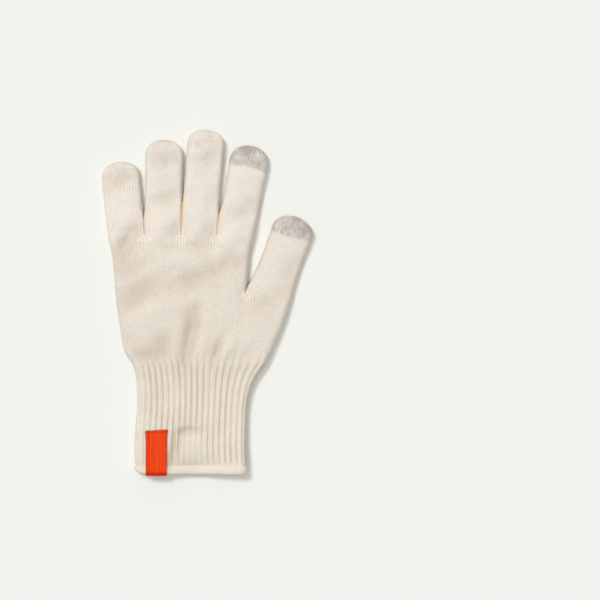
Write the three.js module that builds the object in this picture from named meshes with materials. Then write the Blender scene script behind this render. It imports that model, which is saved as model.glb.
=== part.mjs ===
// A knitted glove liner, lying flat with its back up, thumb to the right (+X) and fingers away (+Y).
// It is built as it is knitted: four finger tubes, the palm that is knitted on from them, the thumb,
// a ribbed cuff and a thick rolled hem. The index finger and the thumb end in tips of grey yarn for
// touch screens, and a woven label is folded over the hem. Every piece is a hollow wall of cloth, open
// from the hem to the fingertips. Lengths are in millimetres and angles in degrees.
import * as THREE from "three";

// Driving dimensions of the knitted cloth
const knitWall = 1.5;
const seamGap = 0.3;
const palmThickness = 11;
const palmCrown = 0.9;
const digitThickness = 10.4;
const digitCrown = 0.8;
const touchTipLength = 16;
const dimpleDepth = 2.4;
const dimpleReach = 3.6;

// Driving dimensions of the palm
const palmLength = 88.5;
const thumbForkHeight = 48.5;

// Driving dimensions of the ribbed cuff and its hem
const cuffLength = 70.6;
const cuffWidth = 78.6;
const cuffWall = 2.4;
const cuffThickness = 11;
const ribCount = 40;
const ribDepth = 0.9;
const hemDepth = 6.2;
const hemWall = 3.0;
const hemRise = 0.2;

// Driving dimensions of the woven label
const labelWidth = 15.6;
const labelLength = 32;
const labelInnerLength = 24;
const labelThickness = 0.7;
const labelFromEdge = 6.9;

// The digits. A finger leans so that its tip clears its neighbour's by the gap that is given here,
// counted from the ring finger, which has a lean of its own.
const digits = {
  little: { length: 52.4, rootWidth: 25.7, width: 27 },
  ring: { length: 67.6, rootWidth: 25.3, width: 26.4 },
  middle: { length: 74.8, rootWidth: 24.9, width: 26 },
  index: { length: 64.4, rootWidth: 26.7, width: 27 },
  thumb: { length: 62.6, width: 28.8 },
};
const ringLean = 1.1;
const thumbLean = 19.9;
const littleRingGap = 3.2;
const ringMiddleGap = 1.3;
const middleIndexGap = 3.4;
const gapHeight = 40;

// How a digit ends: the share of its width that its round end takes, and how square that end is,
// seen from above and from the side. Between two digits a side starts nearly upright.
const tipRoundShare = 0.41;
const tipSquareness = 2.2;
const tipFlatness = 3;
const uprightSideShare = 0.3;

// The sides of the digits that carry on the outer edge of the palm
const outerSides = { little: "left", index: "right", thumb: "right" };

// How finely each form is cut into facets
const columnsPerPanel = 5;
const sideSteps = 4;
const tipSteps = 5;
const outerRowSpacing = 9;
const innerRowSpacing = 15;
const hemSteps = 8;
const hemPoints = 48;
const labelTurnSteps = 6;

// Sizes worked out from the ones above
const fingerNames = ["little", "ring", "middle", "index"];
const palmWidth = fingerNames.reduce((sum, name) => sum + digits[name].rootWidth, 0);
const cuffBottom = hemDepth + seamGap;
const cuffTop = cuffBottom + cuffLength;
const palmBottom = cuffTop + seamGap;
const palmTop = palmBottom + palmLength;
const thumbForkY = palmBottom + thumbForkHeight;

const { lerp, smoothstep, degToRad, clamp } = THREE.MathUtils;

// The cuff's outline. "up" is a share of the cuff's length, left and right are shares of its width,
// and "fan" is how far its right side flares out for the thumb's base, a share of its width too.
const cuffRows = [
  { up: 0.0, left: -0.497, right: 0.499, fan: 0 },
  { up: 0.18, left: -0.5, right: 0.491, fan: 0 },
  { up: 0.38, left: -0.49, right: 0.492, fan: 0.003 },
  { up: 0.58, left: -0.476, right: 0.495, fan: 0.01 },
  { up: 0.74, left: -0.477, right: 0.498, fan: 0.034 },
  { up: 0.86, left: -0.487, right: 0.502, fan: 0.078 },
  { up: 0.94, left: -0.5, right: 0.508, fan: 0.122 },
  { up: 1.0, left: -0.522, right: 0.526, fan: 0.146 },
];

// The palm's lowest row has the width of the cuff's top row, as shares of the palm's width.
const cuffEnd = cuffRows.at(-1);
const palmStart = {
  left: (cuffEnd.left * cuffWidth) / palmWidth,
  right: ((cuffEnd.right + cuffEnd.fan) * cuffWidth) / palmWidth,
};

// The palm below the thumb's fork. "up" is a share of the fork's height, and the rest are shares of
// the palm's width from the middle of the cuff: the little finger's side, the line that runs down
// from the fork, and the thumb's side.
const lowerPalm = [
  { up: 0.0, left: palmStart.left, fork: 0.335, right: palmStart.right },
  { up: 0.15, left: -0.446, fork: 0.342, right: 0.541 },
  { up: 0.32, left: -0.468, fork: 0.35, right: 0.57 },
  { up: 0.5, left: -0.482, fork: 0.359, right: 0.601 },
  { up: 0.68, left: -0.495, fork: 0.367, right: 0.628 },
  { up: 0.85, left: -0.506, fork: 0.371, right: 0.649 },
  { up: 1.0, left: -0.514, fork: 0.374, right: 0.664 },
];

// The thumb stands on a slanted edge that drops from the fork to the thumb's side.
const forkRow = lowerPalm.at(-1);
const thumbSlope = Math.tan(degToRad(thumbLean));
digits.thumb.rootWidth = ((forkRow.right - forkRow.fork) * palmWidth) / Math.cos(degToRad(thumbLean));

// The palm above the fork. "up" is a share of the way from the fork to the fingers, and "round" says
// how round its right side is, which starts upright in the fork.
const upperPalm = [
  { up: 0.0, left: forkRow.left, right: forkRow.fork, round: 0 },
  { up: 0.09, left: -0.518, right: 0.379, round: 0.5 },
  { up: 0.25, left: -0.522, right: 0.391, round: 1 },
  { up: 0.5, left: -0.53, right: 0.4, round: 1 },
  { up: 0.72, left: -0.542, right: 0.409, round: 1 },
  { up: 0.9, left: -0.559, right: 0.423, round: 1 },
  { up: 1.0, left: -0.566, right: 0.434, round: 1 },
];

// Soft folds in the upper side of the hand. x and y are shares of the palm's width and length from
// the middle of the cuff's top edge, "turn" turns the fold from the X axis, "long" and "broad" are
// shares of the palm's width, and "deep" is a share of its thickness.
const palmFolds = [
  { x: -0.02, y: 0.12, turn: 84, long: 0.16, broad: 0.035, deep: 0.13 },
  { x: 0.26, y: 0.13, turn: 72, long: 0.16, broad: 0.04, deep: 0.13 },
  { x: -0.26, y: 0.1, turn: 96, long: 0.1, broad: 0.05, deep: 0.08 },
  { x: -0.3, y: 0.62, turn: 24, long: 0.2, broad: 0.06, deep: 0.1 },
  { x: 0.16, y: 0.77, turn: 14, long: 0.22, broad: 0.06, deep: 0.1 },
  { x: -0.44, y: 0.93, turn: 70, long: 0.1, broad: 0.06, deep: 0.09 },
];

// Soft folds across a digit. "along" and "long" are shares of its length, "deep" of its thickness.
const digitFolds = {
  little: [{ along: 0.62, long: 0.13, deep: 0.1 }],
  ring: [
    { along: 0.42, long: 0.08, deep: 0.12 },
    { along: 0.8, long: 0.07, deep: 0.07 },
  ],
  middle: [
    { along: 0.3, long: 0.09, deep: 0.08 },
    { along: 0.64, long: 0.07, deep: 0.07 },
  ],
  index: [{ along: 0.3, long: 0.1, deep: 0.12 }],
  thumb: [{ along: 0.34, long: 0.12, deep: 0.09 }],
};

// The crease beside the label, where the cuff's upper wall is pulled down. x and y are shares of the
// cuff's width and length, and the depth is a share of its thickness.
const cuffCrease = { x: -0.03, y: 0.22, long: 0.1, broad: 0.11, deep: 0.14 };

// A skin gathers the faces of one closed mesh from rings of points. Each ring runs over the top from
// left to right and back along the underside, and the rings follow each other from cuff to tip.
class Skin {
  constructor() {
    this.corners = [];
  }

  triangle(a, b, c) {
    for (const point of [a, b, c]) this.corners.push(point.x, point.y, point.z);
  }

  quad(a, b, c, d) {
    this.triangle(a, b, c);
    this.triangle(a, c, d);
  }

  // The walls between rings that follow each other. An inner wall faces the other way.
  walls(rings, inner = false) {
    for (let row = 1; row < rings.length; row++) {
      const [near, far] = [rings[row - 1], rings[row]];
      near.forEach((point, i) => {
        const next = (i + 1) % near.length;
        if (inner) this.quad(near[next], point, far[i], far[next]);
        else this.quad(point, near[next], far[next], far[i]);
      });
    }
  }

  // The edge of the cloth at an open end. The inner ring may have a whole fraction of the points.
  rim(outer, inner, atFarEnd) {
    const ratio = outer.length / inner.length;
    inner.forEach((point, i) => {
      const nextInner = inner[(i + 1) % inner.length];
      const edge = [];
      for (let k = 0; k <= ratio; k++) edge.push(outer[(i * ratio + k) % outer.length]);
      for (let k = 0; k < ratio; k++) {
        if (atFarEnd) this.triangle(edge[k], edge[k + 1], point);
        else this.triangle(edge[k + 1], edge[k], point);
      }
      if (atFarEnd) this.triangle(edge[ratio], nextInner, point);
      else this.triangle(nextInner, edge[ratio], point);
    });
  }

  // A fan that closes the last ring at one point.
  pole(ring, tip, inner = false) {
    ring.forEach((point, i) => {
      const next = ring[(i + 1) % ring.length];
      if (inner) this.triangle(next, point, tip);
      else this.triangle(point, next, tip);
    });
  }

  geometry() {
    const made = new THREE.BufferGeometry();
    made.setAttribute("position", new THREE.Float32BufferAttribute(this.corners, 3));
    made.computeVertexNormals();
    return made;
  }
}

// Evenly spaced places from one to another, both ends included.
function spread(from, to, steps) {
  return Array.from({ length: steps + 1 }, (_, i) => lerp(from, to, i / steps));
}

// How far the folds of the palm lower its upper side at a place.
function palmFoldDepth(x, y) {
  return palmFolds.reduce((depth, fold) => {
    const turn = degToRad(fold.turn);
    const dx = x - fold.x * palmWidth;
    const dy = y - (palmBottom + fold.y * palmLength);
    const along = (dx * Math.cos(turn) + dy * Math.sin(turn)) / (fold.long * palmWidth);
    const beside = (dy * Math.cos(turn) - dx * Math.sin(turn)) / (fold.broad * palmWidth);
    return depth + fold.deep * palmThickness * Math.exp(-along * along - beside * beside);
  }, 0);
}

// How far the folds of a digit lower its upper side at a distance along it.
function digitFoldDepth(name, along) {
  return digitFolds[name].reduce((depth, fold) => {
    const off = (along / digits[name].length - fold.along) / fold.long;
    return depth + fold.deep * digitThickness * Math.exp(-off * off);
  }, 0);
}

// One cross-section of a soft tube that lies flat, as points { across, height }: a crowned top with
// its points at the given stops, round sides and a flat underside. "rise" lifts the top at a stop.
function crossSection({ stops, left, right, base, thickness, rise }) {
  const half = thickness / 2;
  const first = stops[0];
  const last = stops[stops.length - 1];
  const points = stops.map((across) => ({ across, height: base + thickness + rise(across) }));
  const side = (edge, stop, from, to) => {
    for (let i = 1; i < sideSteps; i++) {
      const angle = degToRad(lerp(from, to, i / sideSteps));
      const above = Math.max(Math.sin(angle), 0);
      const across = stop + (edge - stop) * Math.cos(angle);
      points.push({ across, height: base + half + half * Math.sin(angle) + above * rise(stop) });
    }
  };
  side(right, last, 90, -90);
  points.push(...[...stops].reverse().map((across) => ({ across, height: base })));
  side(left, first, -90, 90);
  return points;
}

// The height of a low arch at a place between its two feet, and none outside them.
function arch(place, from, to, height) {
  const share = clamp((place - from) / (to - from), 0, 1);
  return height * 4 * share * (1 - share);
}

// The places across a row of the palm: each finger's panel in even columns, up to the line of the
// thumb's fork, and below the fork the thumb's panel as well.
function panelStops(from, fork) {
  const stops = [from];
  let reached = 0;
  for (const name of fingerNames) {
    const start = reached;
    reached += digits[name].rootWidth / palmWidth;
    stops.push(...spread(lerp(from, fork, start), lerp(from, fork, reached), columnsPerPanel).slice(1));
  }
  return stops;
}

// The places of the three forks between fingers, as shares of the palm's width from its left side.
function fingerForks() {
  let reached = 0;
  return fingerNames.slice(0, -1).map((name) => (reached += digits[name].rootWidth / palmWidth));
}

// The dimple that the palm has below each fork, where the cloth is drawn in between two digits.
function dimple(distance, closeness) {
  return closeness * dimpleDepth * Math.exp(-((distance / dimpleReach) ** 2));
}

function lowerPalmRing(row, inset) {
  const left = row.left * palmWidth + inset;
  const right = row.right * palmWidth - inset;
  const fork = row.fork * palmWidth;
  const half = palmThickness / 2 - inset;
  const y = palmBottom + row.up * thumbForkHeight - (row.up === 1 ? inset : 0);
  const place = (across) => y - row.up * thumbSlope * Math.max(across - fork, 0);
  const thumbStops = spread(fork, right - half, columnsPerPanel).slice(1);
  const [first, last] = [left + half, right - half];
  const parting = smoothstep(row.up, 0.3, 1);
  const rise = (across) => {
    const whole = arch(across, first, last, palmCrown);
    const parted = arch(across, first, fork, palmCrown) + arch(across, fork, last, palmCrown);
    const sunk = palmFoldDepth(across, place(across)) + dimple(across - fork, smoothstep(row.up, 0.8, 1));
    return lerp(whole, parted, parting) - sunk;
  };
  return crossSection({
    stops: [...panelStops(first, fork), ...thumbStops],
    left,
    right,
    base: inset,
    thickness: 2 * half,
    rise,
  }).map(({ across, height }) => new THREE.Vector3(across, place(across), height));
}

function upperPalmRing(row, inset) {
  const left = row.left * palmWidth + inset;
  const right = row.right * palmWidth - (row.round ? inset : 0);
  const half = palmThickness / 2 - inset;
  const y = lerp(thumbForkY, palmTop, row.up) - (row.up === 0 ? inset : 0);
  const forks = fingerForks().map((share) => lerp(left, right, share));
  const [first, last] = [left + half, right - half * row.round];
  const nearFingers = smoothstep(row.up, 0.7, 1);
  const rise = (across) => {
    const atForks = forks.reduce((sum, fork) => sum + dimple(across - fork, nearFingers), 0);
    const atThumb = dimple(across - right, row.up === 0 ? 1 : 0);
    return arch(across, first, last, palmCrown) - palmFoldDepth(across, y) - atForks - atThumb;
  };
  return crossSection({
    stops: panelStops(first, last),
    left,
    right,
    base: inset,
    thickness: 2 * half,
    rise,
  }).map(({ across, height }) => new THREE.Vector3(across, y, height));
}

// The thumb's opening in the palm: the thumb's panel of the last lower ring, closed down the fork.
function thumbMouth(lowerRing, upperRing) {
  const topCount = fingerNames.length * columnsPerPanel + 1;
  const wholeCount = topCount + columnsPerPanel;
  const topAndSide = lowerRing.slice(topCount - 1, wholeCount + sideSteps - 1);
  const underside = lowerRing.slice(wholeCount + sideSteps - 1, wholeCount + sideSteps + columnsPerPanel);
  const seam = upperRing.slice(topCount, topCount + sideSteps - 1).reverse();
  return [...topAndSide, ...underside, ...seam];
}

function palm() {
  const skin = new Skin();
  const surface = (inset) => {
    const lower = lowerPalm.map((row) => lowerPalmRing(row, inset));
    const upper = upperPalm.map((row) => upperPalmRing(row, inset));
    skin.walls(lower, inset > 0);
    skin.walls(upper, inset > 0);
    return { first: lower[0], last: upper.at(-1), mouth: thumbMouth(lower.at(-1), upper[0]) };
  };
  const outer = surface(0);
  const inner = surface(knitWall);
  skin.rim(outer.first, inner.first, false);
  skin.rim(outer.last, inner.last, true);
  skin.rim(outer.mouth, inner.mouth, true);
  return skin.geometry();
}

// Where each digit starts and how it leans.
function digitPlaces() {
  const places = {};
  let side = upperPalm.at(-1).left * palmWidth;
  for (const name of fingerNames) {
    places[name] = { x: side + digits[name].rootWidth / 2, y: palmTop + seamGap };
    side += digits[name].rootWidth;
  }
  const centreAt = (name, lean) => places[name].x + gapHeight * Math.tan(degToRad(lean));
  const leanTo = (name, centre) => THREE.MathUtils.radToDeg(Math.atan2(centre - places[name].x, gapHeight));
  const apart = (a, b, gap) => (digits[a].width + digits[b].width) / 2 + gap;
  places.ring.lean = ringLean;
  const ringCentre = centreAt("ring", ringLean);
  places.little.lean = leanTo("little", ringCentre - apart("little", "ring", littleRingGap));
  const middleCentre = ringCentre + apart("ring", "middle", ringMiddleGap);
  places.middle.lean = leanTo("middle", middleCentre);
  places.index.lean = leanTo("index", middleCentre + apart("middle", "index", middleIndexGap));
  const lean = degToRad(thumbLean);
  const halfRoot = digits.thumb.rootWidth / 2;
  places.thumb = {
    x: forkRow.fork * palmWidth + halfRoot * Math.cos(lean) + seamGap * Math.sin(lean),
    y: thumbForkY - halfRoot * Math.sin(lean) + seamGap * Math.cos(lean),
    lean: thumbLean,
  };
  return places;
}

const places = digitPlaces();

// One ring of a digit at a distance along it, in the digit's own frame. The sides that meet another
// digit at the root are nearly upright there and grow round above it. The root of a finger follows
// the straight edge of the palm, however the finger leans.
function digitRing(name, along, inset) {
  const { length, rootWidth, width } = digits[name];
  const lean = name === "thumb" ? 0 : degToRad(places[name].lean);
  const skew = Math.tan(lean) * Math.max(1 - along / width, 0);
  const tipReach = width * tipRoundShare;
  const straight = length - tipReach;
  const beyond = clamp((along - straight) / (tipReach - inset), 0, 1);
  const taper = Math.sqrt(1 - beyond ** tipSquareness);
  const flatten = Math.sqrt(1 - beyond ** tipFlatness);
  const clear = seamGap / 2;
  const root = (rootWidth / 2 - clear) * Math.cos(lean);
  const halfWidth = (lerp(root, width / 2, smoothstep(along, 0, width)) - inset) * taper;
  const half = (digitThickness / 2 - inset) * flatten;
  const grown = smoothstep(along, -width / 4, width / 2);
  const innerSide = lerp(uprightSideShare, 1, grown);
  const reach = (isOuter) => Math.min(half * (isOuter ? 1 : innerSide), halfWidth * 0.8);
  const first = -halfWidth + reach(outerSides[name] === "left");
  const last = halfWidth - reach(outerSides[name] === "right");
  const rise = (across) => (arch(across, first, last, digitCrown) - digitFoldDepth(name, along)) * flatten;
  return crossSection({
    stops: spread(first, last, columnsPerPanel),
    left: -halfWidth,
    right: halfWidth,
    base: digitThickness / 2 - half,
    thickness: 2 * half,
    rise,
  }).map(({ across, height }) => new THREE.Vector3(across, along + across * skew, height));
}

// A stretch of a digit from one distance to another, as a tube, or closed if it reaches the tip.
function digitPiece(name, from, to) {
  const { length, width } = digits[name];
  const closed = to >= length;
  const skin = new Skin();
  const tipReach = width * tipRoundShare;
  const surface = (inset) => {
    const straightEnd = Math.min(to, length - tipReach);
    const spacing = inset > 0 ? innerRowSpacing : outerRowSpacing;
    const steps = Math.max(2, Math.round((straightEnd - from) / spacing));
    const stations = straightEnd > from ? spread(from, straightEnd, steps) : [from];
    if (closed) {
      for (let i = 1; i < tipSteps; i++) {
        const angle = degToRad((90 * i) / tipSteps);
        stations.push(length - tipReach + (tipReach - inset) * Math.sin(angle));
      }
    }
    const rings = stations.map((along) => digitRing(name, along, inset));
    skin.walls(rings, inset > 0);
    if (closed) skin.pole(rings.at(-1), new THREE.Vector3(0, length - inset, digitThickness / 2), inset > 0);
    return rings;
  };
  const outer = surface(0);
  const inner = surface(knitWall);
  skin.rim(outer[0], inner[0], false);
  if (!closed) skin.rim(outer.at(-1), inner.at(-1), true);
  return skin.geometry();
}

// A place on a flat loop with round sides: share 0 is the left side, a quarter the middle of the top
// and half the right side. Returns the place and the way that faces outwards.
function loopPlace(share, { left, right, bottom, top }) {
  const radius = (top - bottom) / 2;
  const quarter = (Math.PI / 2) * radius;
  const flat = right - left - 2 * radius;
  const onTop = share < 0.5;
  const distance = (onTop ? share : 1 - share) * 2 * (2 * quarter + flat);
  const upDown = onTop ? 1 : -1;
  let place;
  if (distance < quarter) {
    const angle = Math.PI - distance / radius;
    place = { x: left + radius, outX: Math.cos(angle), outZ: Math.sin(angle) };
  } else if (distance > quarter + flat) {
    const angle = Math.PI / 2 - (distance - quarter - flat) / radius;
    place = { x: right - radius, outX: Math.cos(angle), outZ: Math.sin(angle) };
  } else {
    place = { x: left + radius + distance - quarter, outX: 0, outZ: 1 };
  }
  return {
    x: place.x + radius * place.outX,
    z: bottom + radius + radius * place.outZ * upDown,
    outX: place.outX,
    outZ: place.outZ * upDown,
  };
}

// How far the crease lowers the cuff's upper wall at a place.
function cuffCreaseDepth(x, y) {
  const across = (x - cuffCrease.x * cuffWidth) / (cuffCrease.long * cuffWidth);
  const up = (y - cuffBottom - cuffCrease.y * cuffLength) / (cuffCrease.broad * cuffLength);
  return cuffCrease.deep * cuffThickness * Math.exp(-across * across - up * up);
}

// The places of the cuff's outline at one row.
function cuffOutline(row, inset) {
  return {
    left: row.left * cuffWidth + inset,
    right: (row.right + row.fan) * cuffWidth - inset,
    bottom: inset,
    top: lerp(cuffThickness, palmThickness, row.up) - inset,
  };
}

// One ring of the cuff, with its ribs on the outer wall. Towards the top the ribs on the right fan out.
function cuffRing(row, { inset, marks, ribs }) {
  const outline = cuffOutline(row, inset);
  const y = cuffBottom + row.up * cuffLength;
  const total = outline.right - outline.left;
  const fan = (row.fan * cuffWidth) / total;
  const fanned = (share) => share * (1 - fan) + fan * share ** 4;
  const points = [];
  for (let rib = 0; rib < ribCount; rib++) {
    for (const mark of marks) {
      const even = (rib + mark.at) / ribCount;
      const share = even < 0.5 ? fanned(even * 2) / 2 : 1 - fanned((1 - even) * 2) / 2;
      const place = loopPlace(share, outline);
      const depth = mark.deep * ribs;
      const sink = cuffCreaseDepth(place.x, y) * Math.max(place.outZ, 0);
      points.push(new THREE.Vector3(place.x - depth * place.outX, y, place.z - depth * place.outZ - sink));
    }
  }
  return points;
}

// The outer wall has a flat peak and a flat valley in each rib, and the inner wall is smooth.
const ribMarks = [
  { at: 0.08, deep: 0 },
  { at: 0.55, deep: 0 },
  { at: 0.72, deep: 1 },
  { at: 0.91, deep: 1 },
];
const innerMarks = [
  { at: 0.08, deep: 0 },
  { at: 0.6, deep: 0 },
];

function cuff() {
  const skin = new Skin();
  const outer = cuffRows.map((row) => cuffRing(row, { inset: 0, marks: ribMarks, ribs: ribDepth }));
  const inner = cuffRows.map((row) => cuffRing(row, { inset: cuffWall, marks: innerMarks, ribs: 0 }));
  skin.walls(outer);
  skin.walls(inner, true);
  skin.rim(outer[0], inner[0], false);
  skin.rim(outer.at(-1), inner.at(-1), true);
  return skin.geometry();
}

// The line down the middle of the hem's bead.
const hemLine = {
  left: cuffRows[0].left * cuffWidth + hemWall / 2 - hemRise,
  right: cuffRows[0].right * cuffWidth - hemWall / 2 + hemRise,
  bottom: hemWall / 2,
  top: cuffThickness - hemWall / 2 + hemRise,
};

function hem() {
  const skin = new Skin();
  const rings = spread(0, 360, hemSteps).map((turn) => {
    const angle = degToRad(turn);
    const outward = -(hemWall / 2) * Math.cos(angle);
    const y = hemDepth / 2 - (hemDepth / 2) * Math.sin(angle);
    return Array.from({ length: hemPoints }, (_, i) => {
      const place = loopPlace(i / hemPoints, hemLine);
      return new THREE.Vector3(place.x + outward * place.outX, y, place.z + outward * place.outZ);
    });
  });
  skin.walls(rings);
  return skin.geometry();
}

// The label: a band of even thickness that lies on the cuff, turns round the hem and runs inside.
function label() {
  const clear = seamGap + labelThickness / 2;
  const turnDepth = hemDepth / 2 + clear;
  const turnHeight = hemWall / 2 + clear;
  const line = [{ y: labelLength - turnDepth + hemDepth / 2, z: hemLine.top + turnHeight }];
  for (let i = 0; i <= labelTurnSteps; i++) {
    const angle = degToRad(lerp(90, 270, i / labelTurnSteps));
    line.push({
      y: hemDepth / 2 + turnDepth * Math.cos(angle),
      z: hemLine.top + turnHeight * Math.sin(angle),
    });
  }
  line.push({ y: labelInnerLength, z: hemLine.top - turnHeight });
  const edge = (sideways) =>
    line.map((place, i) => {
      const before = line[Math.max(i - 1, 0)];
      const after = line[Math.min(i + 1, line.length - 1)];
      const along = new THREE.Vector2(after.y - before.y, after.z - before.z).normalize();
      return new THREE.Vector2(place.y - along.y * sideways, place.z + along.x * sideways);
    });
  const outline = new THREE.Shape([...edge(labelThickness / 2), ...edge(-labelThickness / 2).reverse()]);
  const band = new THREE.ExtrudeGeometry(outline, { depth: labelWidth, bevelEnabled: false });
  const leftSide = cuffRows[0].left * cuffWidth + labelFromEdge;
  const uprightAcross = new THREE.Matrix4().set(0, 0, 1, leftSide, 1, 0, 0, 0, 0, 1, 0, 0, 0, 0, 0, 1);
  return band.applyMatrix4(uprightAcross);
}

// Materials, from the colours of the yarns
const creamKnit = new THREE.MeshStandardMaterial({ color: 0xece3d5, roughness: 0.95, metalness: 0 });
const creamRib = new THREE.MeshStandardMaterial({ color: 0xeee6d8, roughness: 0.95, metalness: 0 });
const creamHem = new THREE.MeshStandardMaterial({ color: 0xf1e9d8, roughness: 0.9, metalness: 0 });
const greyTouchKnit = new THREE.MeshStandardMaterial({ color: 0xc9c3bb, roughness: 0.8, metalness: 0.1 });
const orangeLabel = new THREE.MeshStandardMaterial({ color: 0xe8430f, roughness: 0.75, metalness: 0 });

const glove = new THREE.Group();

function addPiece(name, geometry, material, place = { x: 0, y: 0, lean: 0 }) {
  const piece = new THREE.Mesh(geometry, material);
  piece.name = name;
  piece.position.set(place.x, place.y, 0);
  piece.rotation.z = -degToRad(place.lean);
  glove.add(piece);
}

addPiece("cuff_hem", hem(), creamHem);
addPiece("cuff", cuff(), creamRib);
addPiece("palm", palm(), creamKnit);
addPiece("label", label(), orangeLabel);

for (const [name, place] of Object.entries(places)) {
  const { length } = digits[name];
  const node = name === "thumb" ? "thumb" : `${name}_finger`;
  const touch = name === "index" || name === "thumb";
  const seam = length - touchTipLength;
  addPiece(node, digitPiece(name, 0, touch ? seam : length), creamKnit, place);
  if (touch) addPiece(`${name}_touch_tip`, digitPiece(name, seam + seamGap, length), greyTouchKnit, place);
}

// The origin is on the surface that the glove lies on, below the middle of its outline.
const bounds = new THREE.Box3().setFromObject(glove, true);
const middle = bounds.getCenter(new THREE.Vector3());
for (const piece of glove.children) piece.position.sub(new THREE.Vector3(middle.x, middle.y, bounds.min.z));

export default glove;
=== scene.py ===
"""The looks of a knitted glove liner that lies flat with its back up and its thumb to the right.

The glove is knitted here as a real one is: courses of loops follow each other up a tube, the palm
divides into the thumb and four fingers, and every mesh carries a chart that says which wale and which
course a place belongs to, so that the stitches follow the cloth. The glove's sizes are in millimetres
from the middle of the hem's lower edge, and they become metres in the frame when a mesh is made.
"""

import logging
import math
from dataclasses import dataclass, field
from enum import Enum

import bmesh
import bpy
from mathutils import Euler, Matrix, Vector, noise
from mathutils.bvhtree import BVHTree

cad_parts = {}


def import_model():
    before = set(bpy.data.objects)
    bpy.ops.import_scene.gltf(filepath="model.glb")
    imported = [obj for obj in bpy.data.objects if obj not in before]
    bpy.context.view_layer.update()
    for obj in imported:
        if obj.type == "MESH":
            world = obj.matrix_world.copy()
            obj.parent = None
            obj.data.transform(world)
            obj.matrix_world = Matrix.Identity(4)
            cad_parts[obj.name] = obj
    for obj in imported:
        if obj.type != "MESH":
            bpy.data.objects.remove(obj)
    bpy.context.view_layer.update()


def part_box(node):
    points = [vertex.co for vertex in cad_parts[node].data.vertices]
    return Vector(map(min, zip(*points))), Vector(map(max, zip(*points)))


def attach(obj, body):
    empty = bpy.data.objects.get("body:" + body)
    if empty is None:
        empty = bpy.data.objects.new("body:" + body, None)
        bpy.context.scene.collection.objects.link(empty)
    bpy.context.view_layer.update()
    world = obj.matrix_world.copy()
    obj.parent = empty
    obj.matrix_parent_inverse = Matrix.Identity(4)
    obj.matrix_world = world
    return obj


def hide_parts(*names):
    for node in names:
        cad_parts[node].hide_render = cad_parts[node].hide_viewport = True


log = logging.getLogger("glove")

MM = 0.001
CHART = "knit_chart"
SAME_PLACE = 1e-7
# How full the side of a tube stands: 1 is an ellipse, and less is squarer.
FULLNESS = 0.66


class Mark(str, Enum):
    """What a loop of the cloth can carry for the finishes."""

    # Painted shade in the grooves between the cuff's ribs.
    GROOVE = "rib_groove"
    DRAWN = "drawn_loops"
    # Painted warm bounce light in the slots between digits, and painted warm shade in the cuff's
    # creases.
    CREASE = "warm_crease"
    DROP = "below_fork"
    JOIN = "past_yarn_change"
    # Painted shade in the hollows of the folds.
    HOLLOW = "in_a_hollow"
    # Darkens the yarn on the palm, the thumb and the top of the cuff.
    LOOSE = "loosely_knitted"
    SMOOTH = "smoothly_knitted"


def ramp(value: float, low: float, high: float) -> float:
    """A smooth step from 0 at low to 1 at high."""
    share = min(max((value - low) / (high - low), 0.0), 1.0)
    return share * share * (3 - 2 * share)


def between(start: float, end: float, share: float) -> float:
    """The value at a share of the way from start to end."""
    return start + (end - start) * share


def spread(start: float, end: float, steps: int) -> list[float]:
    """Evenly spaced values from start to end, both included."""
    return [between(start, end, step / steps) for step in range(steps + 1)]


def bell(distance: float) -> float:
    """A smooth bump that is 1 at no distance and fades out beyond 1."""
    return math.exp(-distance * distance)


def arch(place: float, start: float, end: float, height: float) -> float:
    """The height of a low arch at a place between its two feet.

    Args:
        place: where the arch is measured.
        start: its first foot.
        end: its second foot.
        height: its height in the middle.

    Returns:
        The height there, and 0 outside the feet.
    """
    share = min(max((place - start) / (end - start), 0.0), 1.0)
    return height * 4 * share * (1 - share)


def read_rows(rows: tuple[tuple[float, ...], ...], up: float) -> tuple[float, ...]:
    """Reads a table of outline rows at any height, along a smooth line through its rows.

    Args:
        rows: each row starts with its height and goes on with its values.
        up: the height to read at.

    Returns:
        The values at that height.
    """
    last = len(rows) - 1
    at = next((i for i in range(last) if up <= rows[i + 1][0]), last - 1)
    low, high = rows[at], rows[at + 1]
    step = high[0] - low[0]
    share = (up - low[0]) / step

    def slope(row: int, column: int) -> float:
        """The slope of a column at a row, from its neighbours."""
        before, after = rows[max(row - 1, 0)], rows[min(row + 1, last)]
        return (after[column] - before[column]) / (after[0] - before[0])

    found = []
    for column in range(1, len(low)):
        start, end = low[column], high[column]
        rise, fall = slope(at, column) * step, slope(at + 1, column) * step
        square, cube = share * share, share * share * share
        found.append(
            start * (2 * cube - 3 * square + 1)
            + rise * (cube - 2 * square + share)
            + end * (3 * square - 2 * cube)
            + fall * (cube - square)
        )
    return tuple(found)


@dataclass(frozen=True)
class Fold:
    """A soft dent in the upper side of the cloth, or a swelling where it is less than nothing deep."""

    x: float
    y: float
    turn: float
    long: float
    broad: float
    deep: float

    def depth(self, x: float, y: float) -> float:
        """How far the fold lowers the cloth at a place.

        Args:
            x: how far across the glove the place is.
            y: how far up the glove it is.

        Returns:
            The depth in millimetres, and less than 0 in a swelling.
        """
        if math.hypot(x - self.x, y - self.y) > 3 * self.long:
            return 0.0
        turn = math.radians(self.turn)
        along = ((x - self.x) * math.cos(turn) + (y - self.y) * math.sin(turn)) / self.long
        beside = ((y - self.y) * math.cos(turn) - (x - self.x) * math.sin(turn)) / self.broad
        return self.deep * bell(math.hypot(along, beside))


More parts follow.
